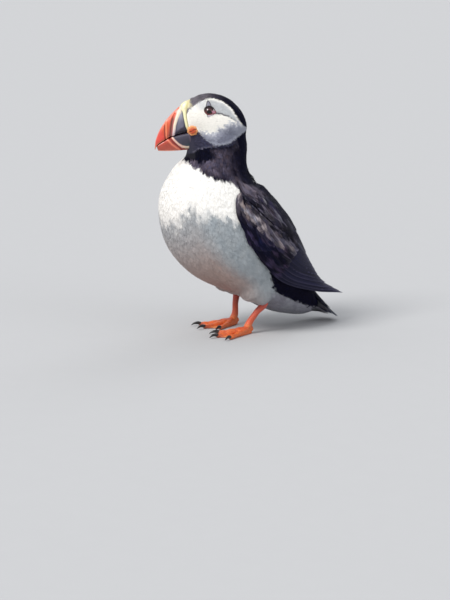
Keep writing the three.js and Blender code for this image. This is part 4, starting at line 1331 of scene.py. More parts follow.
def quills(name, lines, mat, atlas, seed, rim_mix=0.4, point=0.86):
    """Closed flight feathers. Each line: centre points (n,3), normals (n,3), width, colour, thickness, edge colour."""
    V, F, A, C, U = [], [], [], [], []
    r = np.random.default_rng(seed)
    cell = 1.0 / atlas
    cols = 7
    count = 0
    for q, (S, N, width, colour, thick, edge) in enumerate(lines):
        n = len(S)
        t = np.linspace(0, 1, n)
        T = unit(np.gradient(S, axis=0))
        B = unit(np.cross(N, T))
        Nn = np.cross(T, B)
        w = width * np.interp(t, [0, 0.12, 0.3, 0.75, 1], [0.35, 0.75, 1, 0.96, 0.86])
        endr = np.sqrt(np.clip(1 - np.clip((t - point) / (1 - point), 0, 1) ** 2.2, 0, 1))
        w = w * np.maximum(endr, 0.03)
        u = np.linspace(-1, 1, cols)
        own = r.random()
        top = S[:, None] + B[:, None] * (w[:, None] / 2 * u)[..., None]
        wave = 0.05 * np.sin(t[:, None] * 40 + own * 20 + u * 3) * np.abs(u)
        dome = thick * (1 - np.abs(u) ** 2.2) * 0.5 * np.maximum(endr, 0.15)[:, None] - 0.035 * w[:, None] * u**2
        shaft = 0.16 * np.exp(-((u / 0.12) ** 2))[None] * (1 - t[:, None] ** 2)
        up = top + Nn[:, None] * (dome + wave * 0.6 + shaft)[..., None]
        dn = top + Nn[:, None] * (dome + wave * 0.6 - thick * (1 - np.abs(u) ** 3) * np.maximum(endr, 0.1)[:, None] - 0.02)[..., None]
        P = np.concatenate([up, dn[:, ::-1]], 1)  # ring of 2*cols points at each row
        m = 2 * cols
        v, quads, tri = loft_mesh(P)
        tint = np.broadcast_to(colour, (n, m, 3)).copy()
        uu = np.concatenate([u, u[::-1]])
        rim = smoothstep(0.6, 1.0, np.abs(uu))[None, :, None] * smoothstep(0.12, 0.45, t)[:, None, None]
        rim = np.maximum(rim, smoothstep(0.88, 1.0, t)[:, None, None])
        tint = tint * (1 - rim * rim_mix) + np.asarray(edge) * rim * rim_mix
        tint = tint * (0.9 + 0.2 * t[:, None, None])
        tint[:, cols:] *= 1.5
        tint = np.concatenate([tint.reshape(-1, 3), tint[0, :1], tint[-1, :1]])
        vane = np.stack([np.broadcast_to(uu, (n, m)), np.broadcast_to(t[:, None], (n, m)), np.full((n, m), own)], -1).reshape(-1, 3)
        vane = np.concatenate([vane, vane[:1], vane[-1:]])
        # each has a cell of its own: top and underside beside one another
        col_i, row_i = q % atlas, q // atlas
        x = np.where(np.arange(m) < cols, (uu + 1) / 2 * 0.42, 0.52 + (uu + 1) / 2 * 0.42) + 0.03
        UVg = np.stack([np.broadcast_to((col_i + x) * cell, (n, m)), np.broadcast_to(((row_i + 0.04 + 0.92 * t) * cell)[:, None], (n, m))], -1).reshape(-1, 2)
        UVg = np.concatenate([UVg, UVg[:1], UVg[(n - 1) * m : (n - 1) * m + 1]])
        V.append(v)
        F += [quads + count, tri + count]
        A.append(vane)
        C.append(np.clip(tint, 0, 1))
        U.append(UVg)
        count += len(v)
    V, A, C, U = map(np.concatenate, (V, A, C, U))
    Q = np.concatenate([f for f in F if f.shape[1] == 4])
    T3 = np.concatenate([f for f in F if f.shape[1] == 3])
    ob = make_mesh(name, V, [Q, T3], {"tint": C, "vane": A}, uv=U, mats=(mat,))
    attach(ob, "root")
    COAT.append((name, 2 * len(Q) + len(T3)))
    return ob


def wing_quill(side, root, tip, width, up, colour, edge, thick=0.34, rows=18, bow=0.0, share=False):
    """A flight feather from root to tip, both (a, mm above the wing's lower edge or a share of its width), rising over the low level by up[0] to up[1] mm."""
    t = np.linspace(0, 1, rows)
    a = lerp(root[0], tip[0], t)
    w = lerp(root[1], tip[1], t) + bow * np.sin(np.pi * t)
    b = w if share else w / wing_wide(np.clip(a, 0, 0.995))
    over = np.maximum(a - 0.995, 0)
    a = np.minimum(a, 0.995)
    h = low_height(a, np.clip(b, 0.02, 0.98)) + lerp(up[0], up[1], t)
    p, n, run = wing_frame(a, b, h, side)
    p = p + run * (over * 140)[:, None]
    # the vane bends less than the form it lies on
    for _ in range(2):
        n[1:-1] = unit(n[:-2] + 2 * n[1:-1] + n[2:])
    return p, n, width, colour, thick, edge


def build_wing(side, name):
    A, B, top = slab_grid(side)
    under = wing_point(A, B, np.full(A.shape, -1.2), side)
    na, nb = A.shape
    ring = np.concatenate([top, under[:, ::-1]], 1)
    v, quads, tri = loft_mesh(ring)
    flat_a = np.concatenate([A, A[:, ::-1]], 1).ravel()
    flat_b = np.concatenate([B, B[:, ::-1]], 1).ravel()
    col = wing_colour(flat_a, flat_b, 5) * 0.6
    col = np.concatenate([col, col[:2]])
    uvs = np.concatenate([np.stack([A, B * 0.48], -1), np.stack([A, 0.52 + B[:, ::-1] * 0.48], -1)], 1).reshape(-1, 2)
    uvs = np.concatenate([uvs, uvs[:2]])
    ob = make_mesh(name, v, [quads, tri], {"tint": col}, uv=uvs, mats=(M_SKIN,))
    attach(ob, "root")
    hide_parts(name.replace("base_", "wing_"))
    seed = 100 if side > 0 else 200
    r = np.random.default_rng(seed)

    # flight feathers: outermost primary lowest and longest, each inner one over it
    dark, edge = srgb(22, 22, 46), srgb(78, 75, 100)
    L = []
    tips = [1.0, 0.985, 0.965, 0.94, 0.915, 0.885, 0.855, 0.825, 0.795, 0.77]
    for j in range(10):
        c = dark * (1 + r.normal(0, 0.12))
        w1 = wing_wide(tips[j] - 0.02) * (0.42 + 0.02 * j) if j < 3 else 3.2 + 2.9 * j
        L.append(wing_quill(side, (0.47 + 0.004 * j, 3.6 + 4.4 * j), (tips[j], w1), 8.2, (0.1, 0.42 + 0.12 * j), c, edge, bow=-1.2))
    for j in range(9):  # the inner flight feathers' ends, under the tertials
        c = srgb(20, 20, 40) * (1 + r.normal(0, 0.1))
        b0 = 0.50 + 0.055 * j
        L.append(wing_quill(side, (0.50, b0), (0.90 - 0.010 * j + 0.005 * r.normal(), b0), 9.0, (0.0, 0.3 + 0.04 * j), c, srgb(52, 50, 70), share=True))
    for j in range(10):  # tertials, each inner one over the next, along the back
        c = srgb(24, 23, 42) * (1 + r.normal(0, 0.12))
        b0 = 0.50 + 0.052 * j
        L.append(wing_quill(side, (0.44, b0), (0.73 + 0.012 * j + 0.006 * r.normal(), b0 + 0.02), 9.6, (0.1, 0.7 + 0.11 * j), c, srgb(58, 55, 74), share=True))
    quills(name.replace("base", "primaries"), L, M_QUILL, 6, seed + 1, rim_mix=0.6, point=0.74)
    L = []
    for j in range(12):
        w0 = 4.2 + 4.2 * j
        c = wing_colour(np.array([0.5]), np.array([0.08 + 0.05 * j]), seed + 40 + j)[0]
        tip_a = 0.665 - 0.010 * abs(j - 5) + 0.008 * r.normal()
        L.append(wing_quill(side, (0.40, w0), (tip_a, w0 + 1.3), 8.0, (0.1, 1.0 + 0.02 * j), c, c * 2.4 + 0.012, bow=-0.6))
    for j in range(12):
        w0 = 3.6 + 3.6 * j
        c = wing_colour(np.array([0.42]), np.array([0.06 + 0.05 * j]), seed + 60 + j)[0]
        L.append(wing_quill(side, (0.29, w0), (0.475 + 0.012 * r.normal(), w0 + 1.0), 6.6, (0.1, 1.4), c, c * 2.2 + 0.010, bow=-0.5))
    quills(name.replace("base", "secondaries"), L, M_QUILL, 5, seed + 2, rim_mix=0.35, point=0.78)

    # small and middle coverts
    parts = []
    low = lambda a, b: (b < SCAP(a) + 0.05) & (b > 0.015) & (a < 0.36)
    size = lambda a, b: lerp(1.5, 2.7, smoothstep(0.05, 0.34, a))
    a, b = wing_scatter(side, low, size, seed + 5, 14000)
    order = np.argsort(-a)
    a, b = a[order], b[order]
    ln = lerp(7.0, 15.0, smoothstep(0.03, 0.33, a)) * r.uniform(0.85, 1.15, len(a))
    parts.append(wing_vanes(side, a, b, ln, ln * 0.36, r.normal(0.03, 0.09, len(a)), 5, seed + 6, 0.15))
    # loose ones over the greater coverts, so that no row of ends shows
    some = lambda a, b: (b < SCAP(a) - 0.01) & (b > 0.03) & (a >= 0.36) & (a < 0.56)
    a, b = wing_scatter(side, some, lambda a, b: lerp(2.9, 5.0, smoothstep(0.36, 0.56, a)), seed + 15)
    ln = lerp(15.0, 17.0, smoothstep(0.36, 0.5, a)) * r.uniform(0.85, 1.15, len(a))
    parts.append(wing_vanes(side, a, b, ln, ln * 0.30, r.normal(0.02, 0.07, len(a)), 5, seed + 16, 0.55, cover=1.2))
    # a fringe of small feathers along the lower edge
    aa = np.arange(0.02, 0.5, 0.012)
    parts.append(wing_vanes(side, aa, np.full(len(aa), 0.012), np.full(len(aa), 8.5), np.full(len(aa), 3.2), np.full(len(aa), 0.0), 4, seed + 8, 0.1, cover=0.9))
    # scapulars
    high = lambda a, b: (b > SCAP(a) + 0.012) & (a < 0.56)
    size = lambda a, b: lerp(1.8, 3.3, smoothstep(0.02, 0.42, a))
    a, b = wing_scatter(side, high, size, seed + 9, 14000)
    ln = lerp(9.0, 21, smoothstep(0.0, 0.42, a)) * r.uniform(0.88, 1.12, len(a))
    parts.append(wing_vanes(side, a, b, ln, ln * 0.34, r.normal(0.05, 0.06, len(a)), 6, seed + 10, 0.1, cover=1.6))
    # those on the scapulars' lower edge hang a little over the coverts
    aa = np.arange(0.0, 0.545, 0.014)
    ln = lerp(9, 21, smoothstep(0.0, 0.42, aa))
    slope = np.arctan2(-(SCAP(aa + 0.02) - SCAP(aa)) * wing_wide(aa), 0.02 * wing_step(aa))
    parts.append(wing_vanes(side, aa, SCAP(aa) + 0.035, ln, ln * 0.34, slope * 0.9 + 0.06, 6, seed + 11, 0.35, cover=1.6))
    # narrow near-black ones in the gap under that edge: painted shadow along the crease
    ab = np.arange(0.03, 0.53, 0.011)
    slope = np.arctan2(-(SCAP(ab + 0.02) - SCAP(ab)) * wing_wide(ab), 0.02 * wing_step(ab))
    parts.append(wing_vanes(side, ab, SCAP(ab) - 0.012, np.full(len(ab), 8.5), np.full(len(ab), 1.9), slope, 5, seed + 12, 0.5, cover=1.3, tint=srgb(6, 6, 16)))
    coat_piece(name.replace("base", "coverts"), parts, M_WING)


for _side, _name in ((1, "base_left"), (-1, "base_right")):
    build_wing(_side, _name)


# =====================================================================================================
# tail
# =====================================================================================================
def tail_point(a, s, h=0.0):
    ln = lerp(-0.12, 1 - TAIL["rounding"] * s * s, a)
    f = lerp(TAIL["root"][0], TAIL["tip"][0], ln)
    z = lerp(TAIL["root"][1], TAIL["tip"][1], ln)
    half = lerp(TAIL["root_half"], TAIL["tip_half"], np.maximum(0, ln) ** 0.8)
    return bird(f, z - TAIL["roof"] * s * s + h, s * half)


def tail_normal(P, s, a, h):
    e = tail_point(a, s + 0.02, h) - tail_point(a, s - 0.02, h)
    N = unit(np.cross(np.gradient(P, axis=-2), e))
    return np.where(N[..., 2:] < 0, -N, N)


def build_tail():
    L = []
    r = np.random.default_rng(61)
    for layer in range(8):
        for side in (1, -1):
            j = 7 - layer  # outermost pair first and lowest
            s = side * (0.06 + 0.115 * j)
            t = np.linspace(0, 1, 16)
            h = -0.95 + 0.2 * layer
            ss = np.full(16, s) * (0.85 + 0.15 * t)
            P = tail_point(t, ss, h)
            c = srgb(25, 28, 45) * (1 + r.normal(0, 0.12))
            L.append((P, tail_normal(P, ss, t, h), 5.4, c, 0.42, srgb(60, 64, 88)))
    ob = quills("tail_feathers", L, M_QUILL, 4, 62, rim_mix=0.5, point=0.8)
    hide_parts("tail")


def tail_coverts(name, over, rows, mat, colours, seed, reach):
    """Feathers from the rump's skin down on to the tail's plane, above it (over = 1) or under it (-1)."""
    r = np.random.default_rng(seed)
    a0, s0, ln = [], [], []
    for a, n, length in rows:
        s = np.linspace(-0.94, 0.94, n) + r.normal(0, 0.03, n)
        a0.append(np.full(n, a) - 0.10 * s**2 + r.normal(0, 0.012, n))
        s0.append(s)
        ln.append(length * r.uniform(0.88, 1.12, n))
    a0, s0, ln = map(np.concatenate, (a0, s0, ln))
    n = len(a0)
    # the height of the rump's skin over the tail's plane at each root
    h0 = np.full(n, 0.8)
    for h in np.arange(0.8, 30, 0.4):
        P = tail_point(a0, s0, over * h)
        i = nearest(SKIN_KD, P)
        inside = dot(P - SKIN[i], SKIN_N[i]) < 0.25
        h0 = np.where(inside, h + 0.4, h0)
    t = ROWS[None, :]
    a1 = a0 + ln / 50.0
    A = lerp(a0[:, None], a1[:, None], t)
    S0 = s0[:, None] * np.ones_like(A)
    end = 1.25 + reach * (1 - 0.45 * s0**2) * np.clip((1.02 - a1) / 0.6, 0, 1.2)
    H = over * lerp(h0[:, None], np.minimum(end, h0)[:, None], t**0.8)
    P = tail_point(A, S0, H)
    N = tail_normal(P, S0, A, H) * over
    T = np.concatenate([P[:, 1:] - P[:, :-1], P[:, -1:] - P[:, -2:-1]], 1)
    B = unit(np.cross(N, T))
    pick = r.random(n)
    col = mixc(colours[0], colours[1], pick) * (1 + r.normal(0, 0.08, n))[:, None]
    uv = np.stack([0.03 + 0.94 * (s0 * 0.5 + 0.5), 0.03 + 0.94 * np.clip(a0, 0, 1)], 1)
    D = np.full(n, 0.5)
    coat_piece(name, [vanes(6, P, B, N, ln * 0.34, D, col, uv, seed + 1, camber=0.08, frayed=0.9, rise=1.4)], mat)


build_tail()
tail_coverts("rump_coverts", 1, [(0.16, 15, 17), (0.24, 15, 18), (0.32, 14, 18), (0.40, 14, 18), (0.48, 13, 17), (0.56, 11, 15)], M_WING, (srgb(12, 13, 30), srgb(28, 28, 48)), 71, 0.6)
# the undertail coverts' greys are painted shade under the tail
tail_coverts("undertail_coverts", -1, [(0.20, 17, 16), (0.27, 17, 17), (0.34, 16, 17), (0.41, 16, 17), (0.48, 15, 17), (0.55, 14, 17), (0.62, 12, 15)], M_DOWN, (srgb(112, 110, 121), srgb(140, 138, 150)), 75, 12.0)


# =====================================================================================================
# bill
# =====================================================================================================
MOUTH_GAP = 0.35
RIDGE_FRONT = line([(-8, 6.9), (-2, 6.6), (1, 6.3), (4.7, 6.1), (8.2, 6.3), (14.1, 5.5), (19.7, 4.3), (23.5, 4.2), (26, 3.6), (28, 2.8)])
CREAM = [(3.6, 24.0), (4.8, 22.6), (8.0, 20.1), (11.0, 16.9), (14.6, 12.1), (17.5, 6.4), (18.8, 3.4)]
CREAM_S = line([(3.5, 18.7), (6.4, 17.5), (12.1, 14.6), (16.9, 11.0), (20.1, 8.0), (22.6, 4.8), (24.5, 2.5)])
GROOVE_A = [(11.0, 21.2), (13.4, 18.9), (16.0, 15.4), (18.8, 10.2), (20.9, 5.6), (21.4, 3.4)]
# BRIGHT: the raised ridge between grooves A and B, which carries a painted highlight
BRIGHT = [(18.4, 19.6), (19.9, 17.6), (22.1, 12.2), (24.0, 6.7), (24.5, 3.6)]
GROOVE_B = [(21.2, 16.4), (22.6, 14.1), (24.2, 10.0), (25.4, 6.3), (25.9, 3.2)]
NOSTRIL = [(8.6, 4.7), (11.2, 5.0), (14.4, 4.8)]
LOW_CREAM = [(19.8, 2.9), (19.1, 0.6), (16.9, -4.0), (14.7, -6.9), (11.6, -9.0), (8.3, -10.3), (5.5, -11.2)]
LOW_GROOVE_A = [(22.0, 3.0), (20.3, -2.0), (17.6, -6.2), (15.6, -9.2)]
LOW_BRIGHT = [(24.2, 2.7), (22.2, -2.3), (19.5, -6.3), (17.4, -9.0)]
LOW_GROOVE_B = [(26.6, 2.2), (24.9, -2.4), (22.6, -6.2), (21, -8.6)]


def ridge_u(s, v):
    b = BILL_BASE(v)[..., 0]
    return (s - b) / (RIDGE_FRONT(v) - b)


def upper_relief(s, v):
    P = np.stack([s, v], -1).reshape(-1, 2)
    sh = s.shape
    u = ridge_u(s, v)
    low = smoothstep(1.5, 4.0, v)
    d = 0.95 * np.clip(4 * u * (1 - u), 0, 1) ** 0.55 * low
    d = np.where(u < 0.5, np.maximum(d, 0.95 * low * smoothstep(-0.6, 0.4, u)), d)
    f = lambda poly, w: near(P, poly, w).reshape(sh)
    on = smoothstep(1.0, 1.4, u)
    d = d + 0.5 * f(CREAM, 0.95) * on
    d = d - on * (0.6 * f(GROOVE_A, 0.65) + 0.36 * f(GROOVE_B, 0.42) + 0.4 * f(NOSTRIL, 0.4))
    d = d + on * (0.14 * f(GROOVE_A, 1.7) + 0.3 * f(BRIGHT, 0.6))
    d = d - 0.30 * np.exp(-(((u - 1.14) / 0.10) ** 2)) * low
    return d


def lower_relief(s, v):
    P = np.stack([s, v], -1).reshape(-1, 2)
    sh = s.shape
    f = lambda poly, w: near(P, poly, w).reshape(sh)
    d = 0.45 * f(LOW_CREAM, 0.9) - 0.5 * f(LOW_GROOVE_A, 0.6) - 0.2 * f(LOW_GROOVE_B, 0.5)
    return d + 0.26 * f(LOW_BRIGHT, 0.7)


def upper_colour(P3):
    s, v, x = to_head(P3)
    P = np.stack([s, v], 1)
    u = ridge_u(s, v)
    mott = lumps(P3, 7, 21)
    diag = v - (6.6 + (15.5 - s) * 0.34)
    slate = mixc(srgb(50, 42, 60), srgb(100, 98, 116), smoothstep(-0.9, 0.9, diag + 0.25 * mott))
    slate = mixc(slate, srgb(150, 149, 163), smoothstep(2.0, 9.5, diag))
    slate = mixc(slate, srgb(34, 40, 58), smoothstep(2.6, 0.4, s - RIDGE_FRONT(v)) * smoothstep(13, 8, v) * 0.8)
    slate = mixc(slate, srgb(48, 46, 66), near(P, [(a - 1.5, b - 0.7) for a, b in CREAM], 0.5) * smoothstep(18, 12, v) * 0.8)
    slate = slate * (1 + 0.06 * mott)[:, None]
    red = mixc(srgb(206, 70, 46), srgb(214, 84, 44), smoothstep(6, 14, v))
    red = mixc(red, srgb(222, 92, 62), smoothstep(15, 20, v) * smoothstep(18, 10, s))
    red = mixc(red, srgb(213, 70, 58), smoothstep(25, 28, s))
    red = mixc(red, srgb(192, 74, 66), smoothstep(32, 37, s))
    red = red * (1 + 0.06 * mott)[:, None]
    beyond = smoothstep(-0.15, 0.35, s - CREAM_S(v))
    col = mixc(slate, red, beyond)
    # mauve brown from the cream line to the first groove
    between = smoothstep(0, 0.8, s - CREAM_S(v)) * near(P, [(a - 0.7, b) for a, b in GROOVE_A], 1.3) * smoothstep(20, 16, v)
    col = mixc(col, srgb(128, 92, 98), between * 0.75)
    col = mixc(col, srgb(96, 38, 26), near(P, GROOVE_A, 0.85) * smoothstep(21.5, 17, v))
    col = mixc(col, srgb(150, 82, 62), near(P, [(a + 1.7, b) for a, b in GROOVE_A], 0.8) * smoothstep(14, 9, v) * 0.7)
    # painted highlight along the ridge between grooves A and B
    col = mixc(col, srgb(243, 150, 104), near(P, BRIGHT, 0.5) * smoothstep(19.5, 15, v) * 0.95)
    col = mixc(col, srgb(104, 34, 26), near(P, GROOVE_B, 0.42) * smoothstep(17, 13, v) * 0.95)
    w = np.interp(v, [0, 5, 14, 20, 24], [0.95, 1.05, 1.15, 1.4, 1.6])
    cream = np.clip(1.35 - poly_distance(P, CREAM) / w * 0.95, 0, 1)
    cream = smoothstep(0.1, 0.75, cream)
    col = mixc(col, mixc(srgb(226, 206, 208), srgb(238, 222, 198), smoothstep(6, 13, v)), cream)
    # a painted highlight along the culmen's edge
    top = BILL(s)[:, 0]
    col = mixc(col, srgb(236, 164, 146), smoothstep(0.9, 0.2, top - v) * smoothstep(5, 9, s) * 0.55)
    # basal ridge with a dark line to each side
    width = RIDGE_FRONT(v) - BILL_BASE(v)[:, 0]
    line_f = np.exp(-(((u - 1.12) * width / 0.36) ** 2)) * smoothstep(24, 20, v)
    col = mixc(col, srgb(38, 38, 50), line_f * 0.9)
    ridge = smoothstep(1.05, 0.95, u) * smoothstep(0.5, 2.5, v)
    yellow = mixc(srgb(214, 206, 150), srgb(236, 232, 186), smoothstep(0.15, 0.5, u))
    yellow = mixc(yellow, srgb(232, 214, 166), smoothstep(8, 3, v) * 0.7)
    yellow = mixc(yellow, srgb(226, 204, 172), smoothstep(0.1, 0.9, lumps(P3, 3.0, 27)) * smoothstep(18, 22, v) * 0.7)
    yellow = yellow * (1 + 0.05 * lumps(P3, 2.2, 24))[:, None]
    col = mixc(col, yellow, ridge)
    col = mixc(col, srgb(104, 84, 62), smoothstep(0.16, 0.02, u) * ridge * smoothstep(22, 18, v) * 0.8)
    col = mixc(col, srgb(22, 16, 24), near(P, NOSTRIL, 0.34))
    m = BILL(s)[:, 1] + MOUTH_GAP / 2
    col = mixc(col, srgb(56, 30, 36), smoothstep(0.5, 0.1, v - m) * 0.8)
    # painted highlight on the upper mandible's lower edge near the tip
    col = mixc(col, srgb(214, 148, 96), smoothstep(1.2, 0.5, v - m) * smoothstep(0.1, 0.5, v - m) * smoothstep(25, 28, s) * 0.7)
    return np.clip(col, 0, 1)


def lower_colour(P3):
    s, v, x = to_head(P3)
    P = np.stack([s, v], 1)
    mott = lumps(P3, 7, 22)
    slate = mixc(srgb(66, 62, 80), srgb(54, 54, 70), smoothstep(0, -8, v))
    slate = mixc(slate, srgb(72, 96, 104), smoothstep(-5, -8.5, v) * smoothstep(15, 10, s) * 0.5)
    slate = slate * (1 + 0.08 * mott)[:, None]
    slate = mixc(slate, srgb(104, 88, 106), smoothstep(1.5, 0.3, s - BILL_BASE(v)[:, 0]) * 0.8)
    red = mixc(srgb(176, 74, 56), srgb(196, 66, 46), smoothstep(-1, 1.5, v) * 0.6)
    red = red * (1 + 0.07 * mott)[:, None]
    cs = line([(-12.4, 2), (-11.2, 5.5), (-10.3, 8.3), (-9.0, 11.6), (-6.9, 14.7), (-4.0, 16.9), (0.6, 19.1), (2.9, 19.8)])(v)
    beyond = smoothstep(-0.2, 0.3, s - cs)
    col = mixc(slate, red, beyond)
    col = mixc(col, srgb(142, 30, 18), near(P, LOW_GROOVE_A, 1.25) * beyond * 0.97)
    col = mixc(col, srgb(240, 134, 104), near(P, LOW_BRIGHT, 0.75) * 0.95)
    gonys = BILL(s)[:, 2]
    col = mixc(col, srgb(232, 140, 110), smoothstep(1.3, 0.4, v - gonys) * smoothstep(19, 22, s) * 0.7)
    cream = smoothstep(0.1, 0.8, 1.35 - poly_distance(P, LOW_CREAM) / np.interp(s, [6, 12, 18], [1.45, 1.15, 0.85]))
    col = mixc(col, mixc(srgb(238, 196, 178), srgb(232, 214, 188), smoothstep(-6, -10, v)), np.clip(cream, 0, 1))
    m = BILL(s)[:, 1] - MOUTH_GAP / 2
    col = mixc(col, srgb(52, 30, 38), smoothstep(0.5, 0.1, m - v) * 0.8)
    return np.clip(col, 0, 1)


def inside(cx, q):
    """Behind their edges the two halves all but meet, so that the mouth is dark."""
    return (MOUTH_GAP / 2 - 0.015) * smoothstep(0.82, 0.5, np.abs(cx)) * smoothstep(0.3, 0.05, q)


def bill_half(name, upper, na, nr, tip, colour, relief):
    a = np.linspace(0, 2 * np.pi, na, endpoint=False)
    # even spacing round the section: points gather less at its corners
    a = a + 0.10 * np.sin(4 * a)
    r = np.linspace(0, 1, nr)
    r = 0.86 * r + 0.14 * (1 - (1 - r) ** 3)
    A, R = np.meshgrid(a, r)
    cx, sn = squircle(A, 3)
    back = -1.6
    s = lerp(2.0, tip, R)
    for _ in range(5):
        c = BILL(s)
        if upper:
            q = (sn + 1) / 2
            v = lerp(c[..., 1] + MOUTH_GAP / 2, c[..., 0], q) - inside(cx, q)
            w = lerp(c[..., 3], c[..., 4], q**1.15)
        else:
            q = (1 - sn) / 2
            v = lerp(c[..., 1] - MOUTH_GAP / 2, c[..., 2], q) + inside(cx, q)
            w = lerp(0.94 * c[..., 3], c[..., 5], q)
        s = lerp(BILL_BASE(v)[..., 0] + back, tip, R)
    P = in_head(s, v, w * cx)
    V, Q, T = loft_mesh(P)
    N = vertex_normals(V, [Q, T])
    if dot(N, V - V.mean(0)).mean() < 0:
        Q, T, N = Q[:, ::-1], T[:, ::-1], -N
    s1, v1, x1 = to_head(V)
    d = relief(s1, v1)
    side = smoothstep(0.0, 0.5, np.abs(dot(N, LEFT))) if not upper else np.maximum(smoothstep(0.0, 0.5, np.abs(dot(N, LEFT))), smoothstep(0.2, 0.6, dot(N, ABOVE)) * 0.7)
    V = V + N * (d * side)[:, None]
    ob = make_mesh(name, V, [Q, T], {"tint": colour(V)}, mats=(M_BILL,))
    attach(ob, "root")
    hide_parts("bill_upper" if upper else "bill_lower")
    return ob


def bill_material():
    k = Nodes("bill_horn", roughness=0.36, specular=0.5, Coat_Weight=0.25, Coat_Roughness=0.25)
    tint = k.attr("tint")
    n1 = k.noise(420.0, 4.0)
    n2 = k.noise(60.0, 4.0)
    grain = k.noise(160.0, 3.0, stretch=(1, 1, 4))
    tone = k.math("ADD", k.math("MULTIPLY", n1, 0.12), k.math("ADD", k.math("MULTIPLY", n2, 0.22), 0.83))
    wear = k.span(k.noise(120.0, 5.0, 0.7), 0.60, 0.78, 0.0, 0.16)
    col = k.mix(wear, k.vmath("MULTIPLY", tint, k.add_combine(tone)), srgb_t(236, 214, 190))
    h = k.math("ADD", k.math("MULTIPLY", n1, 0.5), k.math("MULTIPLY", grain, 0.8))
    k.set(Base_Color=col, Normal=k.bump(h, 0.25, 0.0002), Roughness=k.span(n1, 0.2, 0.8, 0.28, 0.48))
    return k.m


def srgb_t(*c):
    return tuple(float(x) for x in srgb(*c))


M_BILL = bill_material()
bill_half("bill_upper_horn", True, 176, 150, 36.9, upper_colour, upper_relief)
bill_half("bill_lower_horn", False, 132, 120, 34.7, lower_colour, lower_relief)


# ----------------------------------------------------------------------------------------- gape rosettes
def fleshy_material(name, rough, cell, depth):
    k = Nodes(name, roughness=rough, specular=0.5, Subsurface_Weight=0.12, Coat_Weight=0.15, Coat_Roughness=0.35)
    k.b.inputs["Subsurface Radius"].default_value = (0.002, 0.0008, 0.0004)
    k.b.inputs["Subsurface Scale"].default_value = 0.6
    tint = k.attr("tint")
    c = k.cells(cell, feature="DISTANCE_TO_EDGE")
    n = k.noise(600.0, 4.0)
    edge = k.span(c, 0.0, 0.12, 0.0, 1.0)
    tone = k.math("ADD", k.math("MULTIPLY", edge, 0.16), k.math("ADD", k.math("MULTIPLY", n, 0.18), 0.76))
    h = k.math("ADD", k.math("MULTIPLY", edge, 0.8), k.math("MULTIPLY", n, 0.3))
    k.set(Base_Color=k.vmath("MULTIPLY", tint, k.add_combine(tone)), Normal=k.bump(h, 0.5, depth))
    k.set(Roughness=k.span(n, 0.2, 0.8, rough - 0.08, rough + 0.12))
    return k.m


M_FLESH = fleshy_material("gape_flesh", 0.42, 900.0, 0.0002)


def rosette(side, name):
    na, nr = 96, 60
    th = np.linspace(0, np.pi, nr)
    a = np.linspace(0, 2 * np.pi, na, endpoint=False)
    TH, A = np.meshgrid(th, a, indexing="ij")
    R, T = ROSETTE["radius"] + 0.1, ROSETTE["thick"]
    rho = np.sin(TH)
    fold = 0.20 * np.sin(A * 7 + 2.2 * rho) * rho**2 + 0.14 * np.sin(A * 13 + 1.0) * rho**3
    ring = -0.34 * np.exp(-(((rho - 0.62) / 0.09) ** 2)) - 0.22 * np.exp(-(((rho - 0.3) / 0.07) ** 2))
    crease = -0.75 * np.exp(-(((np.sin(A) * rho * R + 0.25 * np.cos(A * 1.0)) / 0.42) ** 2)) * (np.cos(TH) > 0) * smoothstep(0.96, 0.7, rho)
    h = 1 + (fold + ring) / R
    x = np.cos(TH) * T * (1 + 0.06 * fold) + np.where(np.cos(TH) > 0, (ring * 0.9 + crease * 0.8 + fold * 0.6), 0)
    # leans with the narrowing of the head towards the bill
    ds = R * rho * np.cos(A) * h
    lean = math.radians(15)
    P = in_head(ROSETTE["along"] + ds * math.cos(lean) + x * math.sin(lean), ROSETTE["above"] + R * 0.92 * rho * np.sin(A) * h, side * (ROSETTE["out"] - ds * math.sin(lean) + x * math.cos(lean)))
    V, Q, T3 = loft_mesh(P)
    if side < 0:
        Q, T3 = Q[:, ::-1], T3[:, ::-1]
    rr = np.concatenate([rho.ravel(), [0, 0]])
    cr = np.concatenate([(-crease / 0.75).ravel(), [0, 0]])
    rg = np.concatenate([(-ring / 0.34).ravel(), [0, 0]])
    col = mixc(srgb(206, 82, 34), srgb(240, 166, 104), smoothstep(0.42, 0.8, rr))
    col = mixc(col, srgb(170, 62, 34), np.clip(rg, 0, 1) * 0.5)
    col = mixc(col, srgb(128, 40, 28), np.clip(cr, 0, 1) * 0.8)
    ob = make_mesh(name, V, [Q, T3], {"tint": col}, mats=(M_FLESH,))
    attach(ob, "root")
    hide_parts(name.replace("rosette", "gape_rosette"))


rosette(1, "rosette_left")
rosette(-1, "rosette_right")


# =====================================================================================================
# eyes, lids and the horny plates over and under them
# =====================================================================================================
def skull_x(s, v):
    c = SKULL(s)
    sn = np.where(v > c[..., 3], (v - c[..., 3]) / (c[..., 0] - c[..., 3]), (v - c[..., 3]) / (c[..., 3] - c[..., 1]))
    sn = np.clip(sn, -0.999, 0.999)
    cx = (1 - np.abs(sn) ** 2.25) ** (1 / 2.25)
    return c[..., 2] * cx * np.where(sn > 0, 1 - 0.16 * sn * sn, 1 - 0.1 * sn * sn)


def eye_material():
    k = Nodes("eyeball", roughness=0.12, specular=0.35, Coat_Weight=0.35, Coat_Roughness=0.04)
    tint = k.attr("tint")
    n = k.noise(1400.0, 3.0)
    k.set(Base_Color=k.vmath("MULTIPLY", tint, k.add_combine(k.span(n, 0.0, 1.0, 0.75, 1.2))), Normal=k.bump(k.noise(500.0, 2.0), 0.02, 0.0001))
    return k.m


M_EYE = eye_material()
M_LID = fleshy_material("eye_rim", 0.4, 1500.0, 0.00012)
M_PLATE = fleshy_material("eye_plate", 0.5, 1100.0, 0.00012)
EYE_AT = np.array([EYE["along"], EYE["above"]])
RIM_AT = np.array([-16.35, 15.1])


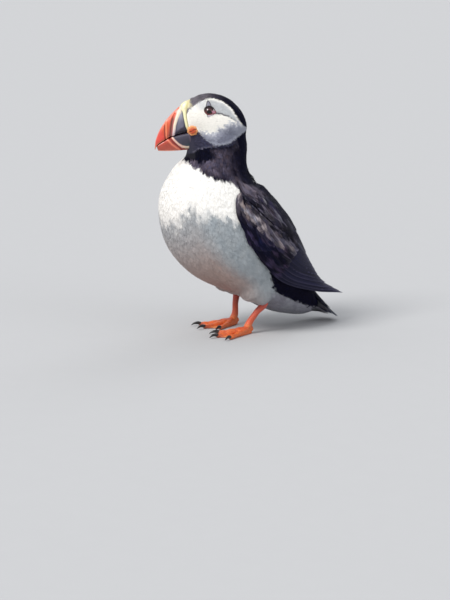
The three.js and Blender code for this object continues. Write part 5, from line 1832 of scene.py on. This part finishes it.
def eyeball(side, name):
    na, nr = 72, 60
    th, a = np.linspace(0, np.pi, nr), np.linspace(0, 2 * np.pi, na, endpoint=False)
    TH, A = np.meshgrid(th, a, indexing="ij")
    R = EYE["radius"]
    bulge = 0.22 * np.exp(-((TH / 0.55) ** 2))
    rr = (R + bulge) * np.sin(TH)
    # looks a little forward
    f = 0.16
    s = rr * np.cos(A)
    x = (R + bulge) * np.cos(TH)
    s2, x2 = s * math.cos(f) + x * math.sin(f), -s * math.sin(f) + x * math.cos(f)
    P = in_head(EYE["along"] + s2, EYE["above"] + rr * np.sin(A), side * (EYE["out"] + x2))
    V, Q, T3 = loft_mesh(P)
    if side < 0:
        Q, T3 = Q[:, ::-1], T3[:, ::-1]
    ang = np.concatenate([np.degrees(TH).ravel(), [0, 180]])
    az = np.concatenate([A.ravel(), [0, 0]])
    iris = mixc(srgb(84, 48, 46), srgb(46, 20, 24), smoothstep(26, 38, ang))
    iris = iris * (1 + 0.22 * np.sin(az * 23) * np.sin(az * 7 + 1))[:, None]
    col = mixc(srgb(5, 4, 6), iris, smoothstep(20, 23, ang))
    col = mixc(col, srgb(30, 18, 20), smoothstep(42, 48, ang))
    ob = make_mesh(name, V, [Q, T3], {"tint": np.clip(col, 0, 1)}, mats=(M_EYE,))
    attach(ob, "root")
    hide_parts(name.replace("eyeball", "eye"))


def on_eye(s, v, r):
    d2 = (s - EYE_AT[0]) ** 2 + (v - EYE_AT[1]) ** 2
    return EYE["out"] + np.sqrt(np.maximum(r * r - d2, 1.0))


def lids(side, name):
    n, m = 120, 18
    ph = np.linspace(0, 2 * np.pi, n, endpoint=False)
    a = np.linspace(0, 2 * np.pi, m, endpoint=False)
    # round, drawn out to a corner at the rear and low
    rad = 3.72 + 0.22 * np.cos(2 * (ph - 0.45)) + 1.55 * np.exp(-((np.angle(np.exp(1j * (ph - 3.83))) / 0.34) ** 2))
    cs, cv = RIM_AT[0] + rad * np.cos(ph), RIM_AT[1] + rad * np.sin(ph) * 0.97
    x_eye = on_eye(cs, cv, EYE["radius"] + 0.1)
    x_skin = skull_x(cs, cv) - 0.25
    x0 = np.maximum(x_eye, x_skin)
    V = []
    hw = 0.52 + 0.06 * np.sin(ph * 3)
    for k in range(n):
        out = np.array([math.cos(ph[k]), math.sin(ph[k])])
        ww = hw[k] * np.cos(a)
        hh = np.where(np.sin(a) > 0, 0.55, 1.3) * np.sin(a)
        pleat = 0.07 * np.sin(ph[k] * 26)
        s, v = cs[k] + out[0] * ww, cv[k] + out[1] * ww
        x = x0[k] + hh + pleat - 0.25 * np.cos(a) * 0
        V.append(in_head(s, v, side * x))
    P = np.array(V)
    Q = []
    for k in range(n):
        k2 = (k + 1) % n
        j = np.arange(m)
        Q.append(np.stack([k * m + j, k * m + (j + 1) % m, k2 * m + (j + 1) % m, k2 * m + j], 1))
    Q = np.concatenate(Q)
    V = P.reshape(-1, 3)
    N = vertex_normals(V, [Q])
    C = np.repeat(P.mean(1), m, axis=0)
    if dot(N, V - C).mean() < 0:
        Q = Q[:, ::-1]
    low = smoothstep(0.25, -0.7, np.sin(ph - 0.5))
    col = mixc(srgb(20, 13, 19), srgb(112, 34, 34), low)
    col = mixc(col, srgb(150, 84, 96), np.exp(-(((ph - 3.83) / 0.5) ** 2)) * 0.8)
    ob = make_mesh(name, V, [Q], {"tint": np.repeat(col, m, axis=0)}, mats=(M_LID,))
    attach(ob, "root")


def plate(side, name, loop, height, face, edge):
    L = rounded(loop, 84, 1)
    c = L.mean(0)
    nr = 14
    rho = np.linspace(0.02, 1, nr)
    G = c + rho[:, None, None] * (L - c)
    s, v = G[..., 0], G[..., 1]
    x = np.maximum(skull_x(s, v) - 0.55, 0)
    ball = on_eye(s, v, EYE["radius"] + 0.05)
    x = np.where((s - EYE_AT[0]) ** 2 + (v - EYE_AT[1]) ** 2 < 24, np.maximum(x, ball), x)
    dome = height * np.sqrt(np.clip(1 - rho**4, 0, 1))[:, None] + 0.05 * np.sin(s * 5) * (1 - rho[:, None])
    top = in_head(s, v, side * (x + dome))
    bot = in_head(s, v, side * (x - 0.9))
    P = np.concatenate([top, bot[::-1]])
    V, Q, T3 = loft_mesh(P)
    N = vertex_normals(V, [Q, T3])
    if dot(N, V - V.mean(0)).mean() < 0:
        Q, T3 = Q[:, ::-1], T3[:, ::-1]
    rr = np.concatenate([rho, rho[::-1]])[:, None] * np.ones((1, len(L)))
    rr = np.concatenate([rr.ravel(), [0, 0]])
    col = mixc(face, edge, smoothstep(0.62, 0.95, rr))
    ob = make_mesh(name, V, [Q, T3], {"tint": col}, mats=(M_PLATE,))
    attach(ob, "root")


for _side, _n in ((1, "left"), (-1, "right")):
    eyeball(_side, "eyeball_" + _n)
    lids(_side, "eye_rim_" + _n)
    plate(_side, "eye_plate_over_" + _n, [(-14.4, 18.0), (-15.1, 19.4), (-16.4, 21.2), (-18.7, 23.4), (-19.6, 20.4), (-19.4, 17.2), (-17.0, 18.6)], 0.6, srgb(118, 119, 132), srgb(24, 22, 30))
    plate(_side, "eye_plate_under_" + _n, [(-12.4, 12.2), (-12.8, 9.8), (-15.2, 10.2), (-18.6, 10.4), (-19.0, 11.2), (-15.4, 12.0)], 0.6, srgb(196, 184, 194), srgb(58, 50, 60))
    plate(_side, "eye_corner_" + _n, [(-17.4, 13.6), (-17.6, 12.2), (-20.9, 11.2), (-20.2, 13.2), (-18.6, 14.4)], 0.35, srgb(176, 122, 138), srgb(126, 66, 84))


# =====================================================================================================
# shanks, webbed feet and claws
# =====================================================================================================
def leg_material():
    k = Nodes("leg_skin", roughness=0.42, specular=0.5, Coat_Weight=0.18, Coat_Roughness=0.3, Subsurface_Weight=0.08)
    k.b.inputs["Subsurface Radius"].default_value = (0.002, 0.0008, 0.0004)
    k.b.inputs["Subsurface Scale"].default_value = 0.5
    tint = k.attr("tint")
    c = k.cells(620.0, feature="DISTANCE_TO_EDGE")
    c2 = k.cells(1300.0, feature="DISTANCE_TO_EDGE")
    n = k.noise(260.0, 4.0)
    edge = k.span(c, 0.0, 0.14, 0.0, 1.0)
    edge2 = k.span(c2, 0.0, 0.15, 0.0, 1.0)
    tone = k.math("ADD", k.math("MULTIPLY", edge, 0.16), k.math("ADD", k.math("MULTIPLY", n, 0.26), 0.70))
    h = k.math("ADD", k.math("MULTIPLY", edge, 0.9), k.math("MULTIPLY", edge2, 0.35))
    k.set(Base_Color=k.vmath("MULTIPLY", tint, k.add_combine(tone)), Normal=k.bump(h, 0.55, 0.00025))
    k.set(Roughness=k.span(n, 0.2, 0.8, 0.34, 0.56))
    return k.m


def claw_material():
    k = Nodes("claw_horn", roughness=0.3, specular=0.5, Coat_Weight=0.3, Coat_Roughness=0.2)
    tint = k.attr("tint")
    n = k.noise(900.0, 4.0, stretch=(1, 1, 1))
    k.set(Base_Color=k.vmath("MULTIPLY", tint, k.add_combine(k.span(n, 0.0, 1.0, 0.7, 1.3))), Normal=k.bump(n, 0.3, 0.00015), Roughness=k.span(n, 0.2, 0.8, 0.25, 0.45))
    return k.m


M_LEG = leg_material()
M_CLAW = claw_material()


def toe_at(leg, toe, d, up, across=0.0):
    turn = math.radians(leg["side"] * (toe[1] + leg["toe_out"]))
    fx, ff = leg["side"] * leg["foot_x"], leg["foot"]
    dx, df = math.sin(turn), math.cos(turn)
    return bird(ff + df * np.asarray(d, float) - dx * across, up, fx + dx * np.asarray(d, float) + df * across)


def shank(leg, name):
    x, fx = leg["side"] * leg["x"], leg["side"] * leg["foot_x"]
    (kf, ku), ff = leg["knee"], leg["foot"]
    pts = [bird(kf + 5.0, ku + 4.6, x * 0.84), bird(kf + 2.4, ku + 1.6, x * 0.94), bird(kf + 0.6, ku - 1.4, x), bird(lerp(kf, ff, 0.5), lerp(ku, ANKLE_UP, 0.5), lerp(x, fx, 0.5)), bird(ff - 0.6, ANKLE_UP + 0.6, fx), bird(ff + 1.0, ANKLE_UP - 2.6, fx), bird(ff + 2.2, ANKLE_UP - 4.6, fx)]
    P, c, d, side, up = limb(pts, [[0, 1.2], [0.05, 2.2], [0.18, 2.95], [0.32, 3.1], [0.42, 2.75], [0.68, 2.6], [0.84, 3.0], [0.93, 3.2], [1, 2.6]], 72, 190)
    V, Q, T3 = loft_mesh(P)
    N = vertex_normals(V, [Q, T3])
    if dot(N, V - np.concatenate([np.repeat(c, 72, axis=0), c[:1], c[-1:]])).mean() < 0:
        Q, T3, N = Q[:, ::-1], T3[:, ::-1], -N
    # broad scutes down the front, small round ones behind
    run = np.concatenate([[0], np.cumsum(np.linalg.norm(np.diff(c, axis=0), axis=1))])
    run = np.concatenate([np.repeat(run, 72), [0, run[-1]]])
    front = dot(N, np.array([0, -0.93, 0.36]))
    scute = np.abs(((run / 1.75) % 1.0) - 0.5) * 2
    small_a = np.concatenate([np.tile(np.arange(72), len(c)), [0, 0]])
    row = np.floor(run / 1.15)
    net = np.maximum(np.abs(((run / 1.15) % 1.0) - 0.5) * 2, np.abs((((small_a / 6.0) + 0.5 * (row % 2)) % 1.0) - 0.5) * 2)
    f = smoothstep(0.1, 0.5, front)
    relief = f * (0.16 * (1 - scute**6)) + (1 - f) * (0.12 * (1 - net**5))
    V = V + N * (relief - 0.06)[:, None]
    groove = f * scute**8 + (1 - f) * net**7
    z = V[:, 2]
    col = mixc(srgb(216, 92, 56), srgb(198, 80, 62), smoothstep(12, 24, z))
    # painted shade: the shank's top darkened under the belly
    col = mixc(col, srgb(160, 62, 52), smoothstep(24, 32, z) * 0.8)
    col = mixc(col, srgb(236, 132, 66), smoothstep(11, 6, z) * 0.7)
    col = mixc(col, col * 0.6, groove * 0.65)
    col = col * (1 + 0.07 * lumps(V, 5, 33))[:, None]
    ob = make_mesh("leg_" + name, V, [Q, T3], {"tint": np.clip(col, 0, 1)}, mats=(M_LEG,))
    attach(ob, "root")
    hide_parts("shank_" + name)


def web_height(leg, P2):
    """Height of the web's top at points on the floor (x, -forward): 1.7 everywhere; the points are not used."""
    return 1.7


def foot(leg, name):
    parts = []
    # toes as full round limbs
    for toe in TOES:
        L, h = toe[2], toe[3]
        pts = [toe_at(leg, toe, -2.6, 4.9), toe_at(leg, toe, L * 0.25, 3.6), toe_at(leg, toe, L * 0.6, 2.2), toe_at(leg, toe, L, 1.4)]
        P = limb(pts, [[0, h + 0.9], [0.25, h * 0.92], [0.34, h * 1.02], [0.46, h * 0.82], [0.6, h * 0.90], [0.70, h * 0.72], [0.82, h * 0.80], [0.92, h * 0.70], [1, h * 0.55]], 28, 60)[0]
        parts.append(loft_mesh(P))
    # hind knob behind the ankle
    fx, ff = leg["side"] * leg["foot_x"], leg["foot"]
    P = limb([bird(ff + 1, 6.5, fx), bird(ff - 2.4, 4.6, fx), bird(ff - 4.4, 2.2, fx)], [[0, 2.6], [0.5, 2.3], [1, 1.3]], 24, 24)[0]
    parts.append(loft_mesh(P))
    # webs: between each two toes a sheet hollowed along its free edge
    tips = [toe_at(leg, t, t[2] * 0.95, 0) for t in TOES]
    heel = bird(ff - 4.2, 0, fx)
    for k in range(2):
        A, B = tips[k], tips[k + 1]
        nu, nw = 40, 46
        U, Wd = np.meshgrid(np.linspace(0, 1, nu), np.linspace(0, 1, nw), indexing="ij")  # across, out from the heel
        sag = 1 - 0.13 * np.sin(np.pi * U) ** 0.9 - 0.012 * np.sin(U * np.pi * 7)
        E = A + (B - A) * U[..., None]
        P = heel + (E - heel) * (Wd * sag)[..., None]
        fold = 0.16 * np.sin(U * np.pi * 9) * Wd * np.sin(np.pi * U)
        hollow = -0.35 * np.sin(np.pi * U) * smoothstep(0.15, 0.7, Wd)
        zt = lerp(2.6, 1.35, smoothstep(0.1, 0.8, Wd)) + fold + hollow
        top, bot = P.copy(), P.copy()
        top[..., 2] = np.maximum(zt, 0.75)
        bot[..., 2] = -0.8
        ring = np.concatenate([top, bot[:, ::-1]], 1)
        parts.append(loft_mesh(ring))
    V, Q, T3, n = [], [], [], 0
    for v, q, t in parts:
        N = vertex_normals(v, [q, t])
        if dot(N, v - v.mean(0)).mean() < 0:
            q, t = q[:, ::-1], t[:, ::-1]
        V.append(v)
        Q.append(q + n)
        T3.append(t + n)
        n += len(v)
    rough = make_mesh("foot_rough", np.concatenate(V), [np.concatenate(Q), np.concatenate(T3)])
    mod = rough.modifiers.new("union", "REMESH")
    mod.mode = "VOXEL"
    mod.voxel_size = 0.00042
    dg = bpy.context.evaluated_depsgraph_get()
    me = bpy.data.meshes.new_from_object(rough.evaluated_get(dg), depsgraph=dg)
    co = np.empty(len(me.vertices) * 3, np.float32)
    me.vertices.foreach_get("co", co)
    idx = np.empty(len(me.loops), np.int32)
    me.loops.foreach_get("vertex_index", idx)
    V = co.reshape(-1, 3).astype(float) * 1000 - SHIFT
    F = idx.reshape(-1, 4)
    bpy.data.objects.remove(rough)
    bpy.data.meshes.remove(me)
    lab = components(F, len(V))
    big = np.bincount(lab[F[:, 0]]).argmax()
    F = F[lab[F[:, 0]] == big]
    used = np.unique(F)
    remap = -np.ones(len(V), int)
    remap[used] = np.arange(len(used))
    V, F = V[used], remap[F]
    E = edges_of([F])
    V = relax(V, E, len(V), 4, 0.5)
    # toe joints: rows of scutes along each toe's back
    N = vertex_normals(V, [F])
    if dot(N, V - V.mean(0)).mean() < 0:
        F, N = F[:, ::-1], -N
    best = np.full(len(V), 9.0)
    along = np.zeros(len(V))
    frac = np.zeros(len(V))
    for toe in TOES:
        o, e = toe_at(leg, toe, 0, 0), toe_at(leg, toe, 1, 0)
        d = e - o
        w = V - o
        r = w @ d
        off = np.linalg.norm((w - r[:, None] * d)[:, :2], axis=1)
        hit = (off < best) & (r > -4) & (r < toe[2] + 2)
        best = np.where(hit, off, best)
        along = np.where(hit, r, along)
        frac = np.where(hit, r / toe[2], frac)
    on_toe = smoothstep(2.6, 1.3, best) * smoothstep(0.0, 0.5, N[:, 2])
    sc = np.abs(((along / 1.55) % 1.0) - 0.5) * 2
    joint = np.exp(-(((frac - 0.40) / 0.03) ** 2)) + np.exp(-(((frac - 0.72) / 0.03) ** 2))
    V = V + N * (on_toe * (0.17 * (1 - sc**6) - 0.07 - 0.16 * joint))[:, None]
    V[:, 2] = np.where(V[:, 2] < 0.28, 0.0, V[:, 2])
    web = smoothstep(2.0, 3.6, best)
    col = mixc(srgb(230, 112, 54), srgb(246, 168, 94), web)
    col = mixc(col, srgb(196, 84, 48), np.clip(sc**8 * on_toe * 0.7 + joint * on_toe * 0.6, 0, 1))
    edge_d = np.zeros(len(V))
    for k in range(2):
        A, B = tips[k][:2], tips[k + 1][:2]
        h = heel[:2]
        M = np.stack([A - h, B - h], 1)
        uv = (V[:, :2] - h) @ np.linalg.inv(M).T
        tot = uv.sum(1)
        ok = (uv[:, 0] > 0) & (uv[:, 1] > 0)
        U = uv[:, 1] / np.maximum(tot, 1e-6)
        sag = 1 - 0.13 * np.sin(np.pi * np.clip(U, 0, 1)) ** 0.9
        edge_d = np.where(ok, np.maximum(edge_d, smoothstep(0.93, 1.0, tot / sag)), edge_d)
    col = mixc(col, srgb(186, 86, 58), edge_d * 0.75)
    col = mixc(col, srgb(214, 92, 54), smoothstep(4.2, 6.2, V[:, 2]))
    rad = np.arctan2(V[:, 0] - heel[0], -(V[:, 1] - heel[1]))
    col = col * (1 - 0.07 * web * np.maximum(0, np.sin(rad * 60)) ** 3)[:, None]
    col = col * (1 + 0.06 * lumps(V, 6, 35))[:, None]
    ob = make_mesh("web_foot_" + name, V, [F], {"tint": np.clip(col, 0, 1)}, mats=(M_LEG,))
    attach(ob, "root")
    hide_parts("foot_" + name)


def claws(leg, name):
    for toe in TOES:
        L, c = toe[2], CLAW["length"]
        pts = [toe_at(leg, toe, L - 3.4, 1.9), toe_at(leg, toe, L + c * 0.12, 2.55), toe_at(leg, toe, L + c * 0.5, 1.95), toe_at(leg, toe, L + c * 0.8, 0.55)]
        P, cc, d, side, up = limb(pts, [[0, 1.2], [0.25, 1.42], [0.55, 1.05], [0.85, 0.5], [1, 0.14]], 28, 60, 1.12)
        V, Q, T3 = loft_mesh(P)
        C = np.concatenate([np.repeat(cc, 28, axis=0), cc[:1], cc[-1:]])
        N = vertex_normals(V, [Q, T3])
        if dot(N, V - C).mean() < 0:
            Q, T3, N = Q[:, ::-1], T3[:, ::-1], -N
        # hollow along the underside
        V = V - N * (0.22 * smoothstep(-0.6, -0.95, N[:, 2]))[:, None]
        V[:, 2] = np.maximum(V[:, 2], 0.0)
        t = np.concatenate([np.repeat(np.linspace(0, 1, 60), 28), [0, 1]])
        col = mixc(srgb(58, 42, 38), srgb(22, 18, 20), smoothstep(0.1, 0.4, t))
        col = mixc(col, srgb(74, 60, 54), smoothstep(0.8, 1.0, t) * 0.5)
        ob = make_mesh(f"claw_horn_{toe[0]}_{name}", V, [Q, T3], {"tint": col}, mats=(M_CLAW,))
        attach(ob, "root")
        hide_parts(f"claw_{toe[0]}_{name}")


for _n, _leg in LEGS.items():
    shank(_leg, _n)
    foot(_leg, _n)
    claws(_leg, _n)


# =====================================================================================================
print("coat pieces", COAT, sum(n for _, n in COAT))
